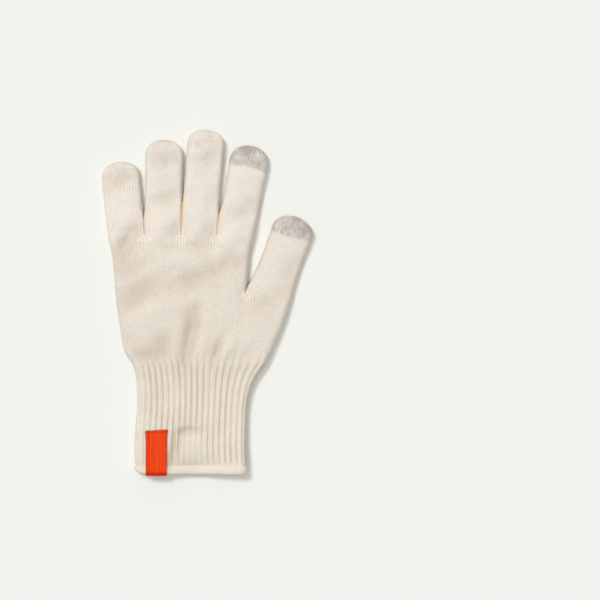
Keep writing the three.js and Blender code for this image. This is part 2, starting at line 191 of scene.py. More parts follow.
@dataclass(frozen=True)
class Relief:
    """The softness of cloth that lies by itself: its folds, and slow and quick unevenness."""

    folds: tuple[Fold, ...]
    strength: float = 1.25
    # The fold depth at which the painted shade in a hollow is full.
    full_shade_depth: float = 2.0
    slow: float = 0.35
    slow_reach: float = 11.0
    quick: float = 0.1
    quick_reach: float = 3.2

    def sink(self, x: float, y: float) -> float:
        """How far the upper side of the cloth lies below its plain shape at a place.

        Args:
            x: how far across the glove the place is.
            y: how far up the glove it is.

        Returns:
            The depth in millimetres.
        """
        slow = self.slow * noise.noise(Vector((x, y, 0.0)) / self.slow_reach)
        quick = self.quick * noise.noise(Vector((x, y, self.slow_reach)) / self.quick_reach)
        return self.strength * self.dent(x, y) + slow + quick

    def dent(self, x: float, y: float) -> float:
        """How deep the folds alone are at a place, before their strength."""
        return sum(fold.depth(x, y) for fold in self.folds)

    def hollow(self, x: float, y: float) -> float:
        """How much a place lies in a hollow, from 0 to 1, which is how much shade is painted there."""
        return min(max(self.dent(x, y) / self.full_shade_depth, 0.0), 1.0)


# Each row is a fold: its middle across and up, its turn, length, breadth and depth.
FOLDS = tuple(
    Fold(*row)
    for row in (
        # gathers above the cuff
        (-1.2, 91.5, 78, 17.0, 4.6, 2.8),
        (2.2, 103.5, 70, 9.0, 6.0, 1.4),
        (19.2, 86.4, 72, 11.0, 3.2, 1.9),
        (26.8, 87.3, 60, 9.0, 3.6, -1.3),
        (9.3, 92.2, 80, 13.0, 4.0, -0.9),
        (-18.2, 90.0, 97, 10.0, 5.0, 1.3),
        (-29.0, 82.4, 4, 12.0, 4.6, 1.8),
        (-24.0, 90.0, 30, 12.0, 7.0, 0.9),
        (-39.7, 90.0, 120, 9.0, 4.0, 0.6),
        (40.5, 85.1, 50, 10.0, 4.0, 0.6),
        # folds and swellings across the palm
        (-0.6, 134.6, 20, 12.0, 5.6, 1.5),
        (20.9, 143.3, 24, 19.0, 6.0, 1.3),
        (-36.6, 125.0, 30, 20.0, 9.0, 1.9),
        (-46.0, 154.6, 56, 14.0, 7.4, 1.8),
        (-38.6, 145.2, 20, 14.0, 6.0, 0.8),
        (-14.8, 158.2, 2, 16.0, 3.4, 0.9),
        (8.1, 158.4, 4, 11.0, 3.6, 1.0),
        (0.1, 112.6, 30, 8.0, 4.6, 0.9),
        (48.3, 115.0, 25, 15.0, 7.0, 0.9),
        (-27.7, 113.2, 25, 14.0, 7.0, -1.1),
        (25.5, 160.8, 60, 9.0, 5.0, -0.9),
        (-18.6, 145.4, 15, 14.0, 5.0, -0.6),
        # folds and swellings across the digits
        (-41.3, 166.6, 50, 12.0, 5.0, 1.9),
        (-46.7, 206.4, 15, 12.0, 6.0, 1.6),
        (-55.7, 197.4, 60, 8.0, 5.0, 0.7),
        (-11.4, 170.0, 42, 9.0, 4.8, 2.0),
        (-17.7, 192.6, 16, 10.0, 5.0, 1.7),
        (-19.0, 219.8, 8, 12.0, 6.0, 1.7),
        (12.4, 168.2, 48, 10.0, 5.4, 1.9),
        (11.6, 218.3, 22, 11.0, 6.0, 1.1),
        (16.4, 190.4, 60, 12.0, 5.0, 0.6),
        (37.8, 183.2, 35, 12.0, 6.6, 1.7),
        (51.6, 196.4, 70, 12.0, 4.0, 0.8),
        (33.9, 169.2, 60, 12.0, 6.0, -0.9),
        (71.2, 142.7, 40, 12.0, 6.0, 0.9),
        (65.8, 126.2, 30, 12.0, 6.0, 0.8),
        # the pull beside the label
        (-3.4, 29.3, 14, 5.5, 3.2, 2.2),
        (2.6, 29.8, 2, 8.0, 2.6, 1.4),
        (-11.8, 17.3, 85, 12.0, 1.7, 1.9),
        (-8.0, 20.4, 82, 10.0, 1.5, 1.9),
        (1.6, 41.1, 3, 12.0, 4.0, -0.7),
        (0.9, 19.4, 90, 11.0, 8.5, -0.6),
        (-22.3, 55.9, 90, 10.0, 8.0, 0.6),
        (6.0, 60.0, 0, 22.0, 6.0, 0.35),
        # the mouth sags in the middle
        (1.0, 2.0, 0, 15.0, 12.0, 2.0),
    )
)


@dataclass
class Loop:
    """One loop of a course: its place, its level on the chart, and what it carries for the finishes.

    The drop below the nearest fork and the distance past the change of yarn are in millimetres. The
    rest goes from 0 to 1: how deep the loop is in a rib's groove, where shade is painted, how far it
    is drawn in, how much painted warm bounce light it has in a crease, how much painted shade it has
    in a hollow, how much its yarn is darkened on the palm, the thumb and the cuff's top, and how
    smoothly it is knitted. Smooth is less than 0 where the wales stand out.
    """

    place: Vector
    level: float
    groove: float = 0.0
    drawn: float = 0.0
    crease: float = 0.0
    drop: float = 0.0
    join: float = 0.0
    hollow: float = 0.0
    loose: float = 0.0
    smooth: float = 0.0


@dataclass
class Course:
    """One round of loops, with the wale mark of each and the mark at which the round closes."""

    loops: list[Loop]
    wales: list[float]


def wale_marks(ring: list[Vector], panel: list[float]) -> list[float]:
    """Counts the wales round a ring, from those of the panel that it grows from.

    Args:
        ring: the places round the tube.
        panel: the marks that the first places keep.

    Returns:
        One mark for each place, and one for the end of the round.
    """
    marks = list(panel)
    for place in range(len(panel), len(ring) + 1):
        marks.append(marks[-1] + (ring[place % len(ring)] - ring[place - 1]).length)
    return marks


class Knitting:
    """Knits courses of loops into one mesh, tube by tube."""

    def __init__(self, origin: Vector) -> None:
        """Starts an empty piece of knitting.

        Args:
            origin: the glove's own origin, in metres.
        """
        self.origin = origin
        self.mesh = bmesh.new()
        self.chart = self.mesh.loops.layers.uv.new(CHART)
        floats = self.mesh.verts.layers.float
        self.layers = {mark.name.lower(): floats.new(mark.value) for mark in Mark}
        # groove: painted shade in the rib grooves that fade into the palm.
        self.needle: list[bmesh.types.BMVert] = []
        self.last: Course | None = None

    def _lay(self, course: Course) -> None:
        # crease: painted warm shade, from light bounced off the orange label.
        # groove: painted shade in the rib grooves.
        """Puts the loops on the needle where the course has them.

        Args:
            course: the course.
        """
        for vert, loop in zip(self.needle, course.loops):
            vert.co = self.origin + loop.place * MM
            for carried, layer in self.layers.items():
                vert[layer] = getattr(loop, carried)
        self.last = course

    def cast_on(self, course: Course) -> None:
        """Starts a new tube with its first course.

        Args:
            course: the course.
        """
        made = bmesh.ops.create_circle(self.mesh, segments=len(course.loops), radius=1.0)
        self.needle = made["verts"]
        self._lay(course)

    def knit(self, course: Course) -> None:
        """Knits the next course onto the tube.

        Args:
            course: as many loops as the tube has.
        """
        below, before = self.needle, self.last
        count = len(below)
        pairs = [(below[i], below[(i + 1) % count]) for i in range(count)]
        edges = [self.mesh.edges.get(pair) for pair in pairs]
        grown = bmesh.ops.extrude_edge_only(self.mesh, edges=edges)["geom"]
        fresh = {item for item in grown if isinstance(item, bmesh.types.BMVert)}
        self.needle = []
        for vert in below:
            above = (edge.other_vert(vert) for edge in vert.link_edges)
            self.needle.append(next(other for other in above if other in fresh))
        self._lay(course)
        for i in range(count):
            after = (i + 1) % count
            spots = {
                below[i]: (before.wales[i], before.loops[i].level),
                below[after]: (before.wales[i + 1], before.loops[after].level),
                self.needle[i]: (course.wales[i], course.loops[i].level),
                self.needle[after]: (course.wales[i + 1], course.loops[after].level),
            }
            face = self.mesh.edges.get((self.needle[i], self.needle[after])).link_faces[0]
            for corner in face.loops:
                corner[self.chart].uv = spots[corner.vert]

    def gather(self, tip: Vector, level: float) -> None:
        """Draws the tube shut at its tip.

        Args:
            tip: where its loops meet.
            level: the level of the tip on the chart.
        """
        loops = [Loop(place=tip, level=level, join=self.last.loops[0].join) for _ in self.needle]
        self.knit(Course(loops=loops, wales=self.last.wales))
        bmesh.ops.pointmerge(self.mesh, verts=self.needle, merge_co=self.origin + tip * MM)

    def finish(self, name: str) -> bpy.types.Object:
        """Grafts the tubes together where they share loops, and makes the object.

        Args:
            name: the object's name.

        Returns:
            The object, with its faces outwards and smooth.
        """
        bmesh.ops.remove_doubles(self.mesh, verts=self.mesh.verts, dist=SAME_PLACE)
        bmesh.ops.recalc_face_normals(self.mesh, faces=self.mesh.faces)
        for edge in self.mesh.edges:
            edge.smooth = not edge.is_boundary
        return make_object(name, self.mesh)


def make_object(name: str, mesh: bmesh.types.BMesh) -> bpy.types.Object:
    """Turns a finished bmesh into an object of the scene, with smooth faces.

    Args:
        name: the object's name.
        mesh: the bmesh, which is freed.

    Returns:
        The object, which sits at the origin.
    """
    for face in mesh.faces:
        face.smooth = True
    data = bpy.data.meshes.new(name)
    mesh.to_mesh(data)
    mesh.free()
    piece = bpy.data.objects.new(name, data)
    bpy.context.scene.collection.objects.link(piece)
    return piece


def add_wall(piece: bpy.types.Object, thickness: float, offset: float = -1.0) -> None:
    """Gives a single skin the thickness of its cloth.

    Args:
        piece: the skin.
        thickness: in millimetres.
        offset: -1 puts the wall inside the skin, and 0 has it on both sides.
    """
    wall = piece.modifiers.new("wall", "SOLIDIFY")
    wall.thickness = thickness * MM
    wall.offset = offset
    wall.use_even_offset = False


def report(piece: bpy.types.Object) -> None:
    """Logs a finished piece and how many faces it has."""
    log.info("%s: %d faces", piece.name, len(piece.data.polygons))


# The finishes


class Amount:
    """A value in a material, which takes part in ordinary arithmetic."""

    def __init__(self, recipe: "Recipe", socket: bpy.types.NodeSocket) -> None:
        """Wraps a socket of the recipe."""
        self.recipe = recipe
        self.socket = socket

    def _with(self, operation: str, *values: "Amount | float") -> "Amount":
        """Adds the Math node of an operation on these values.

        Args:
            operation: the operation's name.
            values: what it works on.

        Returns:
            The result.
        """
        inputs = dict(enumerate(values))
        made = self.recipe.node("ShaderNodeMath", {"operation": operation}, inputs)
        return Amount(self.recipe, made.outputs[0])

    def __add__(self, other: "Amount | float") -> "Amount":
        """The sum."""
        return self._with("ADD", self, other)

    def __sub__(self, other: "Amount | float") -> "Amount":
        """The difference."""
        return self._with("SUBTRACT", self, other)

    def __rsub__(self, other: float) -> "Amount":
        """The difference, from the right."""
        return self._with("SUBTRACT", other, self)

    def __mul__(self, other: "Amount | float") -> "Amount":
        """The product."""
        return self._with("MULTIPLY", self, other)

    def __truediv__(self, other: "Amount | float") -> "Amount":
        """The quotient."""
        return self._with("DIVIDE", self, other)

    def __abs__(self) -> "Amount":
        """The size without its sign."""
        return self._with("ABSOLUTE", self)

    def fraction(self) -> "Amount":
        """What is left above the whole number."""
        return self._with("FRACT", self)

    def wave(self) -> "Amount":
        """The sine."""
        return self._with("SINE", self)

    def step(self, low: float, high: float) -> "Amount":
        """A smooth step from 0 at low to 1 at high.

        Args:
            low: where the step starts.
            high: where it ends.

        Returns:
            The step, from 0 to 1.
        """
        settings = {"interpolation_type": "SMOOTHSTEP"}
        made = self.recipe.node("ShaderNodeMapRange", settings, {0: self, 1: low, 2: high})
        return Amount(self.recipe, made.outputs[0])


Colour = tuple[float, float, float]
Range = tuple[float, float]


def linear(red: int, green: int, blue: int) -> Colour:
    """A screen colour as the linear colour of a material.

    Args:
        red: the red, from 0 to 255.
        green: the green.
        blue: the blue.

    Returns:
        The linear colour.
    """
    channels = []
    for value in (red, green, blue):
        share = value / 255
        channels.append(share / 12.92 if share <= 0.04045 else ((share + 0.055) / 1.055) ** 2.4)
    return tuple(channels)


class Recipe:
    """The nodes of one material."""

    def __init__(self, name: str) -> None:
        """Starts a material with a bare shader.

        Args:
            name: the material's name.
        """
        self.material = bpy.data.materials.new(name)
        self.material.use_nodes = True
        self.tree = self.material.node_tree
        self.shader = self.tree.nodes["Principled BSDF"]

    def node(
        self, kind: str, settings: dict[str, object], inputs: dict[int | str, object]
    ) -> bpy.types.ShaderNode:
        """Adds any node.

        Args:
            kind: the node's type.
            settings: its settings, which are set first.
            inputs: a value, an Amount or a socket for each input.

        Returns:
            The node.
        """
        made = self.tree.nodes.new(kind)
        for name, value in settings.items():
            setattr(made, name, value)
        for name, value in inputs.items():
            self.feed(made.inputs[name], value)
        return made

    def feed(self, target: bpy.types.NodeSocket, value: object) -> None:
        """Links a socket or sets a value on an input.

        Args:
            target: the input.
            value: an Amount, a socket, a number or a colour.
        """
        if isinstance(value, Amount):
            value = value.socket
        if isinstance(value, bpy.types.NodeSocket):
            self.tree.links.new(value, target)
        elif target.type == "RGBA" and len(value) == 3:
            target.default_value = (*value, 1.0)
        else:
            target.default_value = value

    def blend(self, share: object, first: object, second: object) -> bpy.types.NodeSocket:
        """Mixes two colours by a share.

        Args:
            share: how much of the second colour there is.
            first: the first colour.
            second: the second colour.

        Returns:
            The mixed colour.
        """
        inputs = {"Factor": share, 6: first, 7: second}
        made = self.node("ShaderNodeMix", {"data_type": "RGBA", "clamp_factor": True}, inputs)
        return made.outputs[2]

    def chart(self) -> tuple[Amount, Amount]:
        """Reads the chart.

        Returns:
            The wale and the course of a place, in millimetres of cloth.
        """
        chart = self.node("ShaderNodeUVMap", {"uv_map": CHART}, {})
        parts = self.node("ShaderNodeSeparateXYZ", {}, {0: chart.outputs[0]})
        return Amount(self, parts.outputs[0]), Amount(self, parts.outputs[1])

    def carried(self, mark: Mark) -> Amount:
        """What the loops carry of a mark."""
        made = self.node("ShaderNodeAttribute", {"attribute_name": mark.value}, {})
        return Amount(self, made.outputs["Fac"])

    def clouds(self, size: float, detail: float, rough: float = 0.5) -> Amount:
        """Soft clouds that sit in the object.

        Args:
            size: how far apart they are, in millimetres.
            detail: how many finer layers they have.
            rough: how strong the finer layers are.

        Returns:
            A value about 0.5.
        """
        place = self.node("ShaderNodeTexCoord", {}, {}).outputs["Object"]
        inputs = {"Vector": place, "Scale": 1 / (size * MM), "Detail": detail, "Roughness": rough}
        made = self.node("ShaderNodeTexNoise", {"noise_dimensions": "3D"}, inputs)
        return Amount(self, made.outputs["Fac"])

    def streaks(self, across: Amount, along: Amount, size: Range, layer: float) -> Amount:
        """Clouds that are drawn out along the yarn.

        Args:
            across: the wale of a place.
            along: the course of a place.
            size: how far apart they are across the wales and along them, in millimetres.
            layer: sets one layer of streaks off from another.

        Returns:
            A value about 0.5.
        """
        parts = {0: across / size[0], 1: along / size[1], 2: layer}
        place = self.node("ShaderNodeCombineXYZ", {}, parts)
        inputs = {"Vector": place.outputs[0], "Scale": 1.0, "Detail": 2.0}
        made = self.node("ShaderNodeTexNoise", {"noise_dimensions": "3D"}, inputs)
        return Amount(self, made.outputs["Fac"])

    def raise_surface(self, height: Amount, depth: float) -> None:
        """Lets a height shape the surface.

        Args:
            height: from 0 to 1.
            depth: what 1 stands for, in millimetres.
        """
        inputs = {"Strength": 1.0, "Distance": depth * MM, "Height": height}
        bump = self.node("ShaderNodeBump", {}, inputs)
        self.feed(self.shader.inputs["Normal"], bump.outputs[0])

    def set_shader(self, values: dict[str, object]) -> None:
        """Sets or links the shader's own sockets."""
        for name, value in values.items():
            self.feed(self.shader.inputs[name], value)


@dataclass(frozen=True)
class Marl:
    """The light and dark streaks of marled yarn, which start where the yarn changes."""

    light: Colour
    dark: Colour
    plain: Colour
    strength: float = 0.75
    light_size: Range = (0.9, 3.6)
    light_layer: float = 7.0
    light_range: Range = (0.46, 0.66)
    dark_size: Range = (0.9, 3.4)
    dark_layer: float = 0.0
    dark_range: Range = (0.56, 0.76)
    upper_range: Range = (4.0, 10.0)
    upper_share: float = 0.12
    drift_size: float = 8.0
    drift_share: float = 0.5
    ragged_size: Range = (1.1, 1.6)
    ragged_layer: float = 3.0
    ragged_reach: float = 3.4
    start_range: Range = (-0.5, 1.5)

    def draw(
        self, recipe: Recipe, colour: bpy.types.NodeSocket, wale: Amount, course: Amount
    ) -> bpy.types.NodeSocket:
        """Draws the streaks over a colour, and plain yarn before the change.

        Args:
            recipe: the material.
            colour: the colour below the streaks.
            wale: the wale of a place.
            course: the course of a place.

        Returns:
            The colour with its streaks.
        """
        past = recipe.carried(Mark.JOIN)
        drift = (recipe.clouds(self.drift_size, 0.0) - 0.5) * self.drift_share
        upper = past.step(*self.upper_range) * self.upper_share + drift
        dark = recipe.streaks(wale, course, self.dark_size, self.dark_layer) + upper
        light = recipe.streaks(wale, course, self.light_size, self.light_layer) - upper
        colour = recipe.blend(light.step(*self.light_range) * self.strength, colour, self.light)
        colour = recipe.blend(dark.step(*self.dark_range) * self.strength, colour, self.dark)
        ragged = recipe.streaks(wale, course, self.ragged_size, self.ragged_layer) - 0.5
        started = (past + ragged * self.ragged_reach).step(*self.start_range)
        return recipe.blend(started, self.plain, colour)


@dataclass(frozen=True)
class KnitFinish:
    """Knitted yarn: wales of V-shaped loops, with the slight unevenness of spun yarn."""

    name: str
    yarn: Colour
    # shade: the yarn's darker tone in its gaps and mottling, also used for painted shade in hollows.
    shade: Colour
    # groove: the painted shade in the grooves between ribs.
    groove: Colour
    # crease: the painted warm bounce light in creases and slots.
    crease: Colour = linear(240, 206, 160)
    hole: Colour = linear(196, 178, 150)
    taut: Colour = linear(249, 242, 233)
    marl: Marl | None = None
    wale: float = 1.88
    course: float = 1.25
    slant: float = 0.8
    gap_range: Range = (0.62, 1.0)
    gap_depth: float = 0.6
    heart_reach: float = 0.3
    heart_depth: float = 0.12
    yarn_height: float = 0.5
    relief: float = 0.2
    waver: float = 0.9
    waver_size: float = 7.0
    patch_size: float = 9.0
    patch_range: Range = (0.36, 0.66)
    least_plain: float = 0.15
    wale_shade: float = 0.46
    mottle: float = 0.27
    mottle_size: float = 2.2
    mottle_detail: float = 3.0
    mottle_rough: float = 0.6
    mottle_range: Range = (0.25, 0.75)
    # How far the darkened yarn of the palm, the thumb and the cuff's top goes into the shade colour.
    palm_darkening: float = 0.22
    # How much shade is painted into the folds' hollows.
    painted_hollow_shade: float = 0.5
    below_shade: float = 0.5
    below_start: Range = (3.4, 3.9)
    below_end: Range = (6.5, 9.0)
    taut_drop: float = 0.4
    taut_range: Range = (1.5, 4.0)
    taut_drawn: Range = (0.3, 0.9)
    taut_share: float = 0.7
    hole_drop: float = 3.1
    hole_range: Range = (0.2, 0.8)
    hole_drawn: Range = (0.55, 0.95)
    roughness: float = 0.92
    specular: float = 0.2
    sheen: float = 0.15
    sheen_roughness: float = 0.6

    def stitches(self, wale: Amount, course: Amount, plain: Amount) -> tuple[Amount, Amount]:
        """Draws the V-shaped loops.

        Args:
            wale: the wale of a place, in millimetres.
            course: the course of a place.
            plain: how plainly the wales stand apart there, as a share.

        Returns:
            The height of the yarn, and how near the place is to the gap between two wales.
        """
        side = abs((wale / self.wale).fraction() - 0.5) * 2
        leg = (course / self.course + side * self.slant).fraction() * 2 - 1
        yarn = 1 - leg * leg
        gap = side.step(*self.gap_range)
        heart = 1 - side.step(0.0, self.heart_reach)
        height = yarn * self.yarn_height + (1 - gap) * plain * self.gap_depth
        return height - heart * self.heart_depth, gap

    def plainness(self, recipe: Recipe) -> Amount:
        """How plainly the wales stand apart, in patches and where the cloth isn't smooth."""
        patches = recipe.clouds(self.patch_size, 1.0).step(*self.patch_range)
        return (patches * (1 - self.least_plain) + self.least_plain) * (1 - recipe.carried(Mark.SMOOTH))

    def darkness(self, recipe: Recipe, gap: Amount, plain: Amount) -> Amount:
        """How far the yarn goes into its shade colour, with painted shade in the folds' hollows.

        Args:
            recipe: the material.
            gap: how near a place is to the gap between two wales.
            plain: how plainly the wales stand apart there.

        Returns:
            The share of the shade.
        """
        mottle = recipe.clouds(self.mottle_size, self.mottle_detail, self.mottle_rough)
        drop = recipe.carried(Mark.DROP)
        below = drop.step(*self.below_start) * (1 - drop.step(*self.below_end))
        below = below * recipe.carried(Mark.DRAWN)
        dark = gap * self.wale_shade * plain + (1 - mottle.step(*self.mottle_range)) * self.mottle
        dark = dark + gap * below * self.below_shade
        # The darker yarn of the palm, the thumb and the cuff's top.
        dark = dark + recipe.carried(Mark.LOOSE) * self.palm_darkening
        # Painted shade in the folds' hollows.
        return dark + recipe.carried(Mark.HOLLOW) * self.painted_hollow_shade

    def close_forks(
        self, recipe: Recipe, colour: bpy.types.NodeSocket, gap: Amount
    ) -> bpy.types.NodeSocket:
        """Draws the taut light loops at a fork and the row of holes below them.

        Args:
            recipe: the material.
            colour: the colour below them.
            gap: how near a place is to the gap between two wales.

        Returns:
            The colour with the loops and the holes.
        """
        drawn = recipe.carried(Mark.DRAWN)
        drop = recipe.carried(Mark.DROP)
        taut = drawn.step(*self.taut_drawn) * (1 - abs(drop - self.taut_drop).step(*self.taut_range))
        holes = drawn.step(*self.hole_drawn) * (1 - abs(drop - self.hole_drop).step(*self.hole_range))
        colour = recipe.blend(taut * self.taut_share, colour, self.taut)
        return recipe.blend(holes * gap, colour, self.hole)

    def dress(self) -> bpy.types.Material:
        """Makes the material.

        Returns:
            The material.
        """
        recipe = Recipe(self.name)
        wale, course = recipe.chart()
        waver = (recipe.clouds(self.waver_size, 1.0) - 0.5) * self.waver
        plain = self.plainness(recipe)
        height, gap = self.stitches(wale + waver, course, plain)
        colour = recipe.blend(self.darkness(recipe, gap, plain), self.yarn, self.shade)
        if self.marl:
            colour = self.marl.draw(recipe, colour, wale, course)
        # Painted shade in the rib grooves.
        colour = recipe.blend(recipe.carried(Mark.GROOVE), colour, self.groove)
        colour = self.close_forks(recipe, colour, gap)
        # Painted warm bounce light and shade in creases and slots.
        colour = recipe.blend(recipe.carried(Mark.CREASE), colour, self.crease)
        recipe.raise_surface(height, self.relief)
        recipe.set_shader(
            {
                "Base Color": colour,
                "Roughness": self.roughness,
                "Specular IOR Level": self.specular,
                "Sheen Weight": self.sheen,
                "Sheen Roughness": self.sheen_roughness,
            }
        )
        return recipe.material


@dataclass(frozen=True)
class Feature:
    """How much a feature of the ribbon darkens it, and how far it stands off the weave."""

    shade: float
    height: float = 0.0


@dataclass(frozen=True)
class LabelFinish:
    """A closely woven ribbon, darker where it is turned in at its edges.

    Its end, which turns down over the hem, is painted in shade.
    """

    name: str
    thread: Colour
    # edge: the darker colour of the edges and stitching, and of the painted shade on the turned-down
    # end.
    edge: Colour
    half_width: float
    end: float
    pitch: float = 0.45
    relief: float = 0.06
    gap_shade: float = 0.12
    selvedge: float = 0.9
    top_range: Range = (-0.7, -0.1)
    row_from_end: float = 1.5
    row_range: Range = (0.2, 0.5)
    stitch: float = 1.6
    stitch_range: Range = (-0.3, 0.5)
    satin_size: Range = (1.3, 40.0)
    satin_range: Range = (0.36, 0.66)
    turned_down_range: Range = (0.5, 3.6)
    channel_share: float = 0.7
    channel_range: Range = (0.2, 0.8)
    rim_look: Feature = Feature(shade=0.4, height=2.0)
    top_look: Feature = Feature(shade=0.25)
    row_look: Feature = Feature(shade=0.6, height=-3.0)
    painted_turn_shade: Feature = Feature(shade=0.75)
    channel_look: Feature = Feature(shade=0.35, height=-2.0)
    satin_look: Feature = Feature(shade=0.3, height=3.0)
    roughness: float = 0.6
    specular: float = 0.12

    def features(self, recipe: Recipe, across: Amount, along: Amount) -> list[tuple[Amount, Feature]]:
        """Draws the ribbon's edges, its turned ends, its row of stitches and its satin streaks.

        Args:
            recipe: the material.
            across: how far a place lies from the ribbon's middle, in millimetres.
            along: how far it lies from the ribbon's lower end.

        Returns:
            Where each feature is, from 0 to 1, and its look.
        """
        rim = abs(across).step(self.half_width - self.selvedge, self.half_width)
        top = along.step(*(self.end + near for near in self.top_range))
        stitches = (across * (math.tau / self.stitch)).wave().step(*self.stitch_range)
        row = (1 - abs(along - (self.end - self.row_from_end)).step(*self.row_range)) * stitches
        # Painted shade where the ribbon turns down over the hem and faces away from the light.
        turned = 1 - along.step(*self.turned_down_range)
        channel = 1 - abs(across + self.half_width * self.channel_share).step(*self.channel_range)
        satin = recipe.streaks(across, along, self.satin_size, 0.0).step(*self.satin_range)
        return [
            (rim, self.rim_look),
            (top, self.top_look),
            (row, self.row_look),
            (turned, self.painted_turn_shade),
            (channel, self.channel_look),
            (satin, self.satin_look),
        ]

    def dress(self) -> bpy.types.Material:
        """Makes the material.

        Returns:
            The material.
        """
        recipe = Recipe(self.name)
        across, along = recipe.chart()
        warp = (across * (math.tau / self.pitch)).wave()
        weft = (along * (math.tau / self.pitch)).wave()
        height = warp * weft * 0.5 + 0.5
        shade = (1 - height) * self.gap_shade
        for place, look in self.features(recipe, across, along):
            shade = shade + place * look.shade
            if look.height:
                height = height + place * look.height
        recipe.raise_surface(height, self.relief)
        recipe.set_shader(
            {
                "Base Color": recipe.blend(shade, self.thread, self.edge),
                "Roughness": self.roughness,
                "Specular IOR Level": self.specular,
            }
        )
        return recipe.material


@dataclass(frozen=True)
class FloorFinish:
    """A plain pale card."""

    name: str
    colour: Colour

    def dress(self) -> bpy.types.Material:
        """Makes the material.

        Returns:
            The material.
        """
        recipe = Recipe(self.name)
        recipe.set_shader({"Base Color": self.colour, "Roughness": 1.0, "Specular IOR Level": 0.0})
        return recipe.material


# The glove


@dataclass(frozen=True)
class Columns:
    """How many columns of loops each part of a round has."""

    finger: int = 31
    thumb: int = 32
    side: int = 12

    @property
    def palm(self) -> int:
        """The columns over the fingers' four panels."""
        return 4 * self.finger

    @property
    def whole(self) -> int:
        """The columns of a round below the thumb's fork, and of the cuff."""
        return 2 * (self.palm + self.thumb + self.side)


@dataclass(frozen=True)
class Spot:
    """A place in a cross-section, and how much it belongs to the upper side and to a side."""

    x: float
    z: float
    above: float
    beside: float = 0.0


def cross_section(
    stops: list[float],
    edges: tuple[float, float],
    heights: tuple[float, float],
    side: int,
    low: tuple[float, float],
) -> list[Spot]:
    """The cross-section of a soft tube that lies flat.

    Args:
        stops: the places across its upper side, from left to right.
        edges: its left and right edges. A side is round from the last stop to its edge.
        heights: its underside and its top.
        side: how many columns go round a side.
        low: how high its left and right edges lie, as shares of its thickness.

    Returns:
        The places from the left over the top, down the right side and back along the underside.
    """

    def round_side(right: bool, start: float, end: float) -> list[Spot]:
        """The places round one side, between its two angles.

        Args:
            right: whether it is the right side.
            start: the first angle.
            end: the last angle.

        Returns:
            The places between the two.
        """
        found = []
        edge, stop = edges[right], stops[-1 if right else 0]
        bend = between(*heights, low[right])
        for angle in spread(math.radians(start), math.radians(end), side)[1:-1]:
            rise = math.sin(angle)
            beside = math.cos(angle)
            x = stop + (edge - stop) * beside**FULLNESS
            turned = math.copysign(beside, edge - stop)
            z = bend + rise * (heights[1] - bend if rise > 0 else bend - heights[0])
            found.append(Spot(x=x, z=z, above=max(rise, 0.0), beside=turned))
        return found

    top = [Spot(x=x, z=heights[1], above=1.0) for x in stops]
    under = [Spot(x=x, z=heights[0], above=0.0) for x in reversed(stops)]
    return top + round_side(True, 90, -90) + under + round_side(False, -90, 90)


@dataclass(frozen=True)
class FlatLoop:
    """A flat loop with round sides, along which the cuff and its hem run."""

    left: float
    right: float
    bottom: float
    top: float
    reach: float = 3.4

    def at(self, share: float) -> tuple[Vector, Vector]:
        """A place on the loop.

        Args:
            share: 0 is the left side, a quarter the middle of the top and half the right side.

        Returns:
            The place and the way that faces outwards, both with x across and z up.
        """
        radius = (self.top - self.bottom) / 2
        quarter = (radius + self.reach) / 2 * math.pi / 2
        flat = self.right - self.left - 2 * self.reach
        on_top = share < 0.5
        distance = (share if on_top else 1 - share) * 2 * (2 * quarter + flat)
        turned = math.pi / 2 / quarter
        if distance < quarter:
            angle = math.pi - distance * turned
            centre = self.left + self.reach
        elif distance > quarter + flat:
            angle = math.pi / 2 - (distance - quarter - flat) * turned
            centre = self.right - self.reach
        else:
            angle = math.pi / 2
            centre = self.left + self.reach + distance - quarter
        up = 1 if on_top else -1
        across, rise = math.cos(angle), math.sin(angle) * up
        middle = Vector((centre, 0.0, self.bottom + radius))
        out = Vector((across * radius, 0.0, rise * self.reach)).normalized()
        return middle + Vector((across * self.reach, 0.0, rise * radius)), out


@dataclass(frozen=True)
class Digit:
    """The sizes of one digit, in the order in which it is knitted."""

    name: str
    length: float
    root_width: float
    width: float
    root_x: float
    root_y: float
    lean: float
    thickness: float
    outer_side: int = 0
    left_bow: float = 0.0
    right_bow: float = 0.0
    touch: bool = False
    smooth: float = 0.3

    def to_glove(self, across: float, along: float, height: float) -> Vector:
        """Takes a place in the digit's own frame to the glove's.

        Args:
            across: how far it is from the middle line.
            along: how far it is from the root.
            height: its height over the floor.

        Returns:
            The place in the glove's frame.
        """
        lean = math.radians(self.lean)
        return Vector(
            (
                self.root_x + across * math.cos(lean) + along * math.sin(lean),
                self.root_y + along * math.cos(lean) - across * math.sin(lean),
                height,
            )
        )

    def sideways(self) -> Vector:
        """The way across the digit, in the glove's frame."""
        lean = math.radians(self.lean)
        return Vector((math.cos(lean), -math.sin(lean), 0.0))

    def to_digit(self, place: Vector) -> Vector:
        """Takes a place in the glove's frame to the digit's own.

        Args:
            place: a place in the glove's frame.

        Returns:
            How far it is across, along and over the floor.
        """
        lean = math.radians(self.lean)
        x, y = place.x - self.root_x, place.y - self.root_y
        across = x * math.cos(lean) - y * math.sin(lean)
        return Vector((across, y * math.cos(lean) + x * math.sin(lean), place.z))


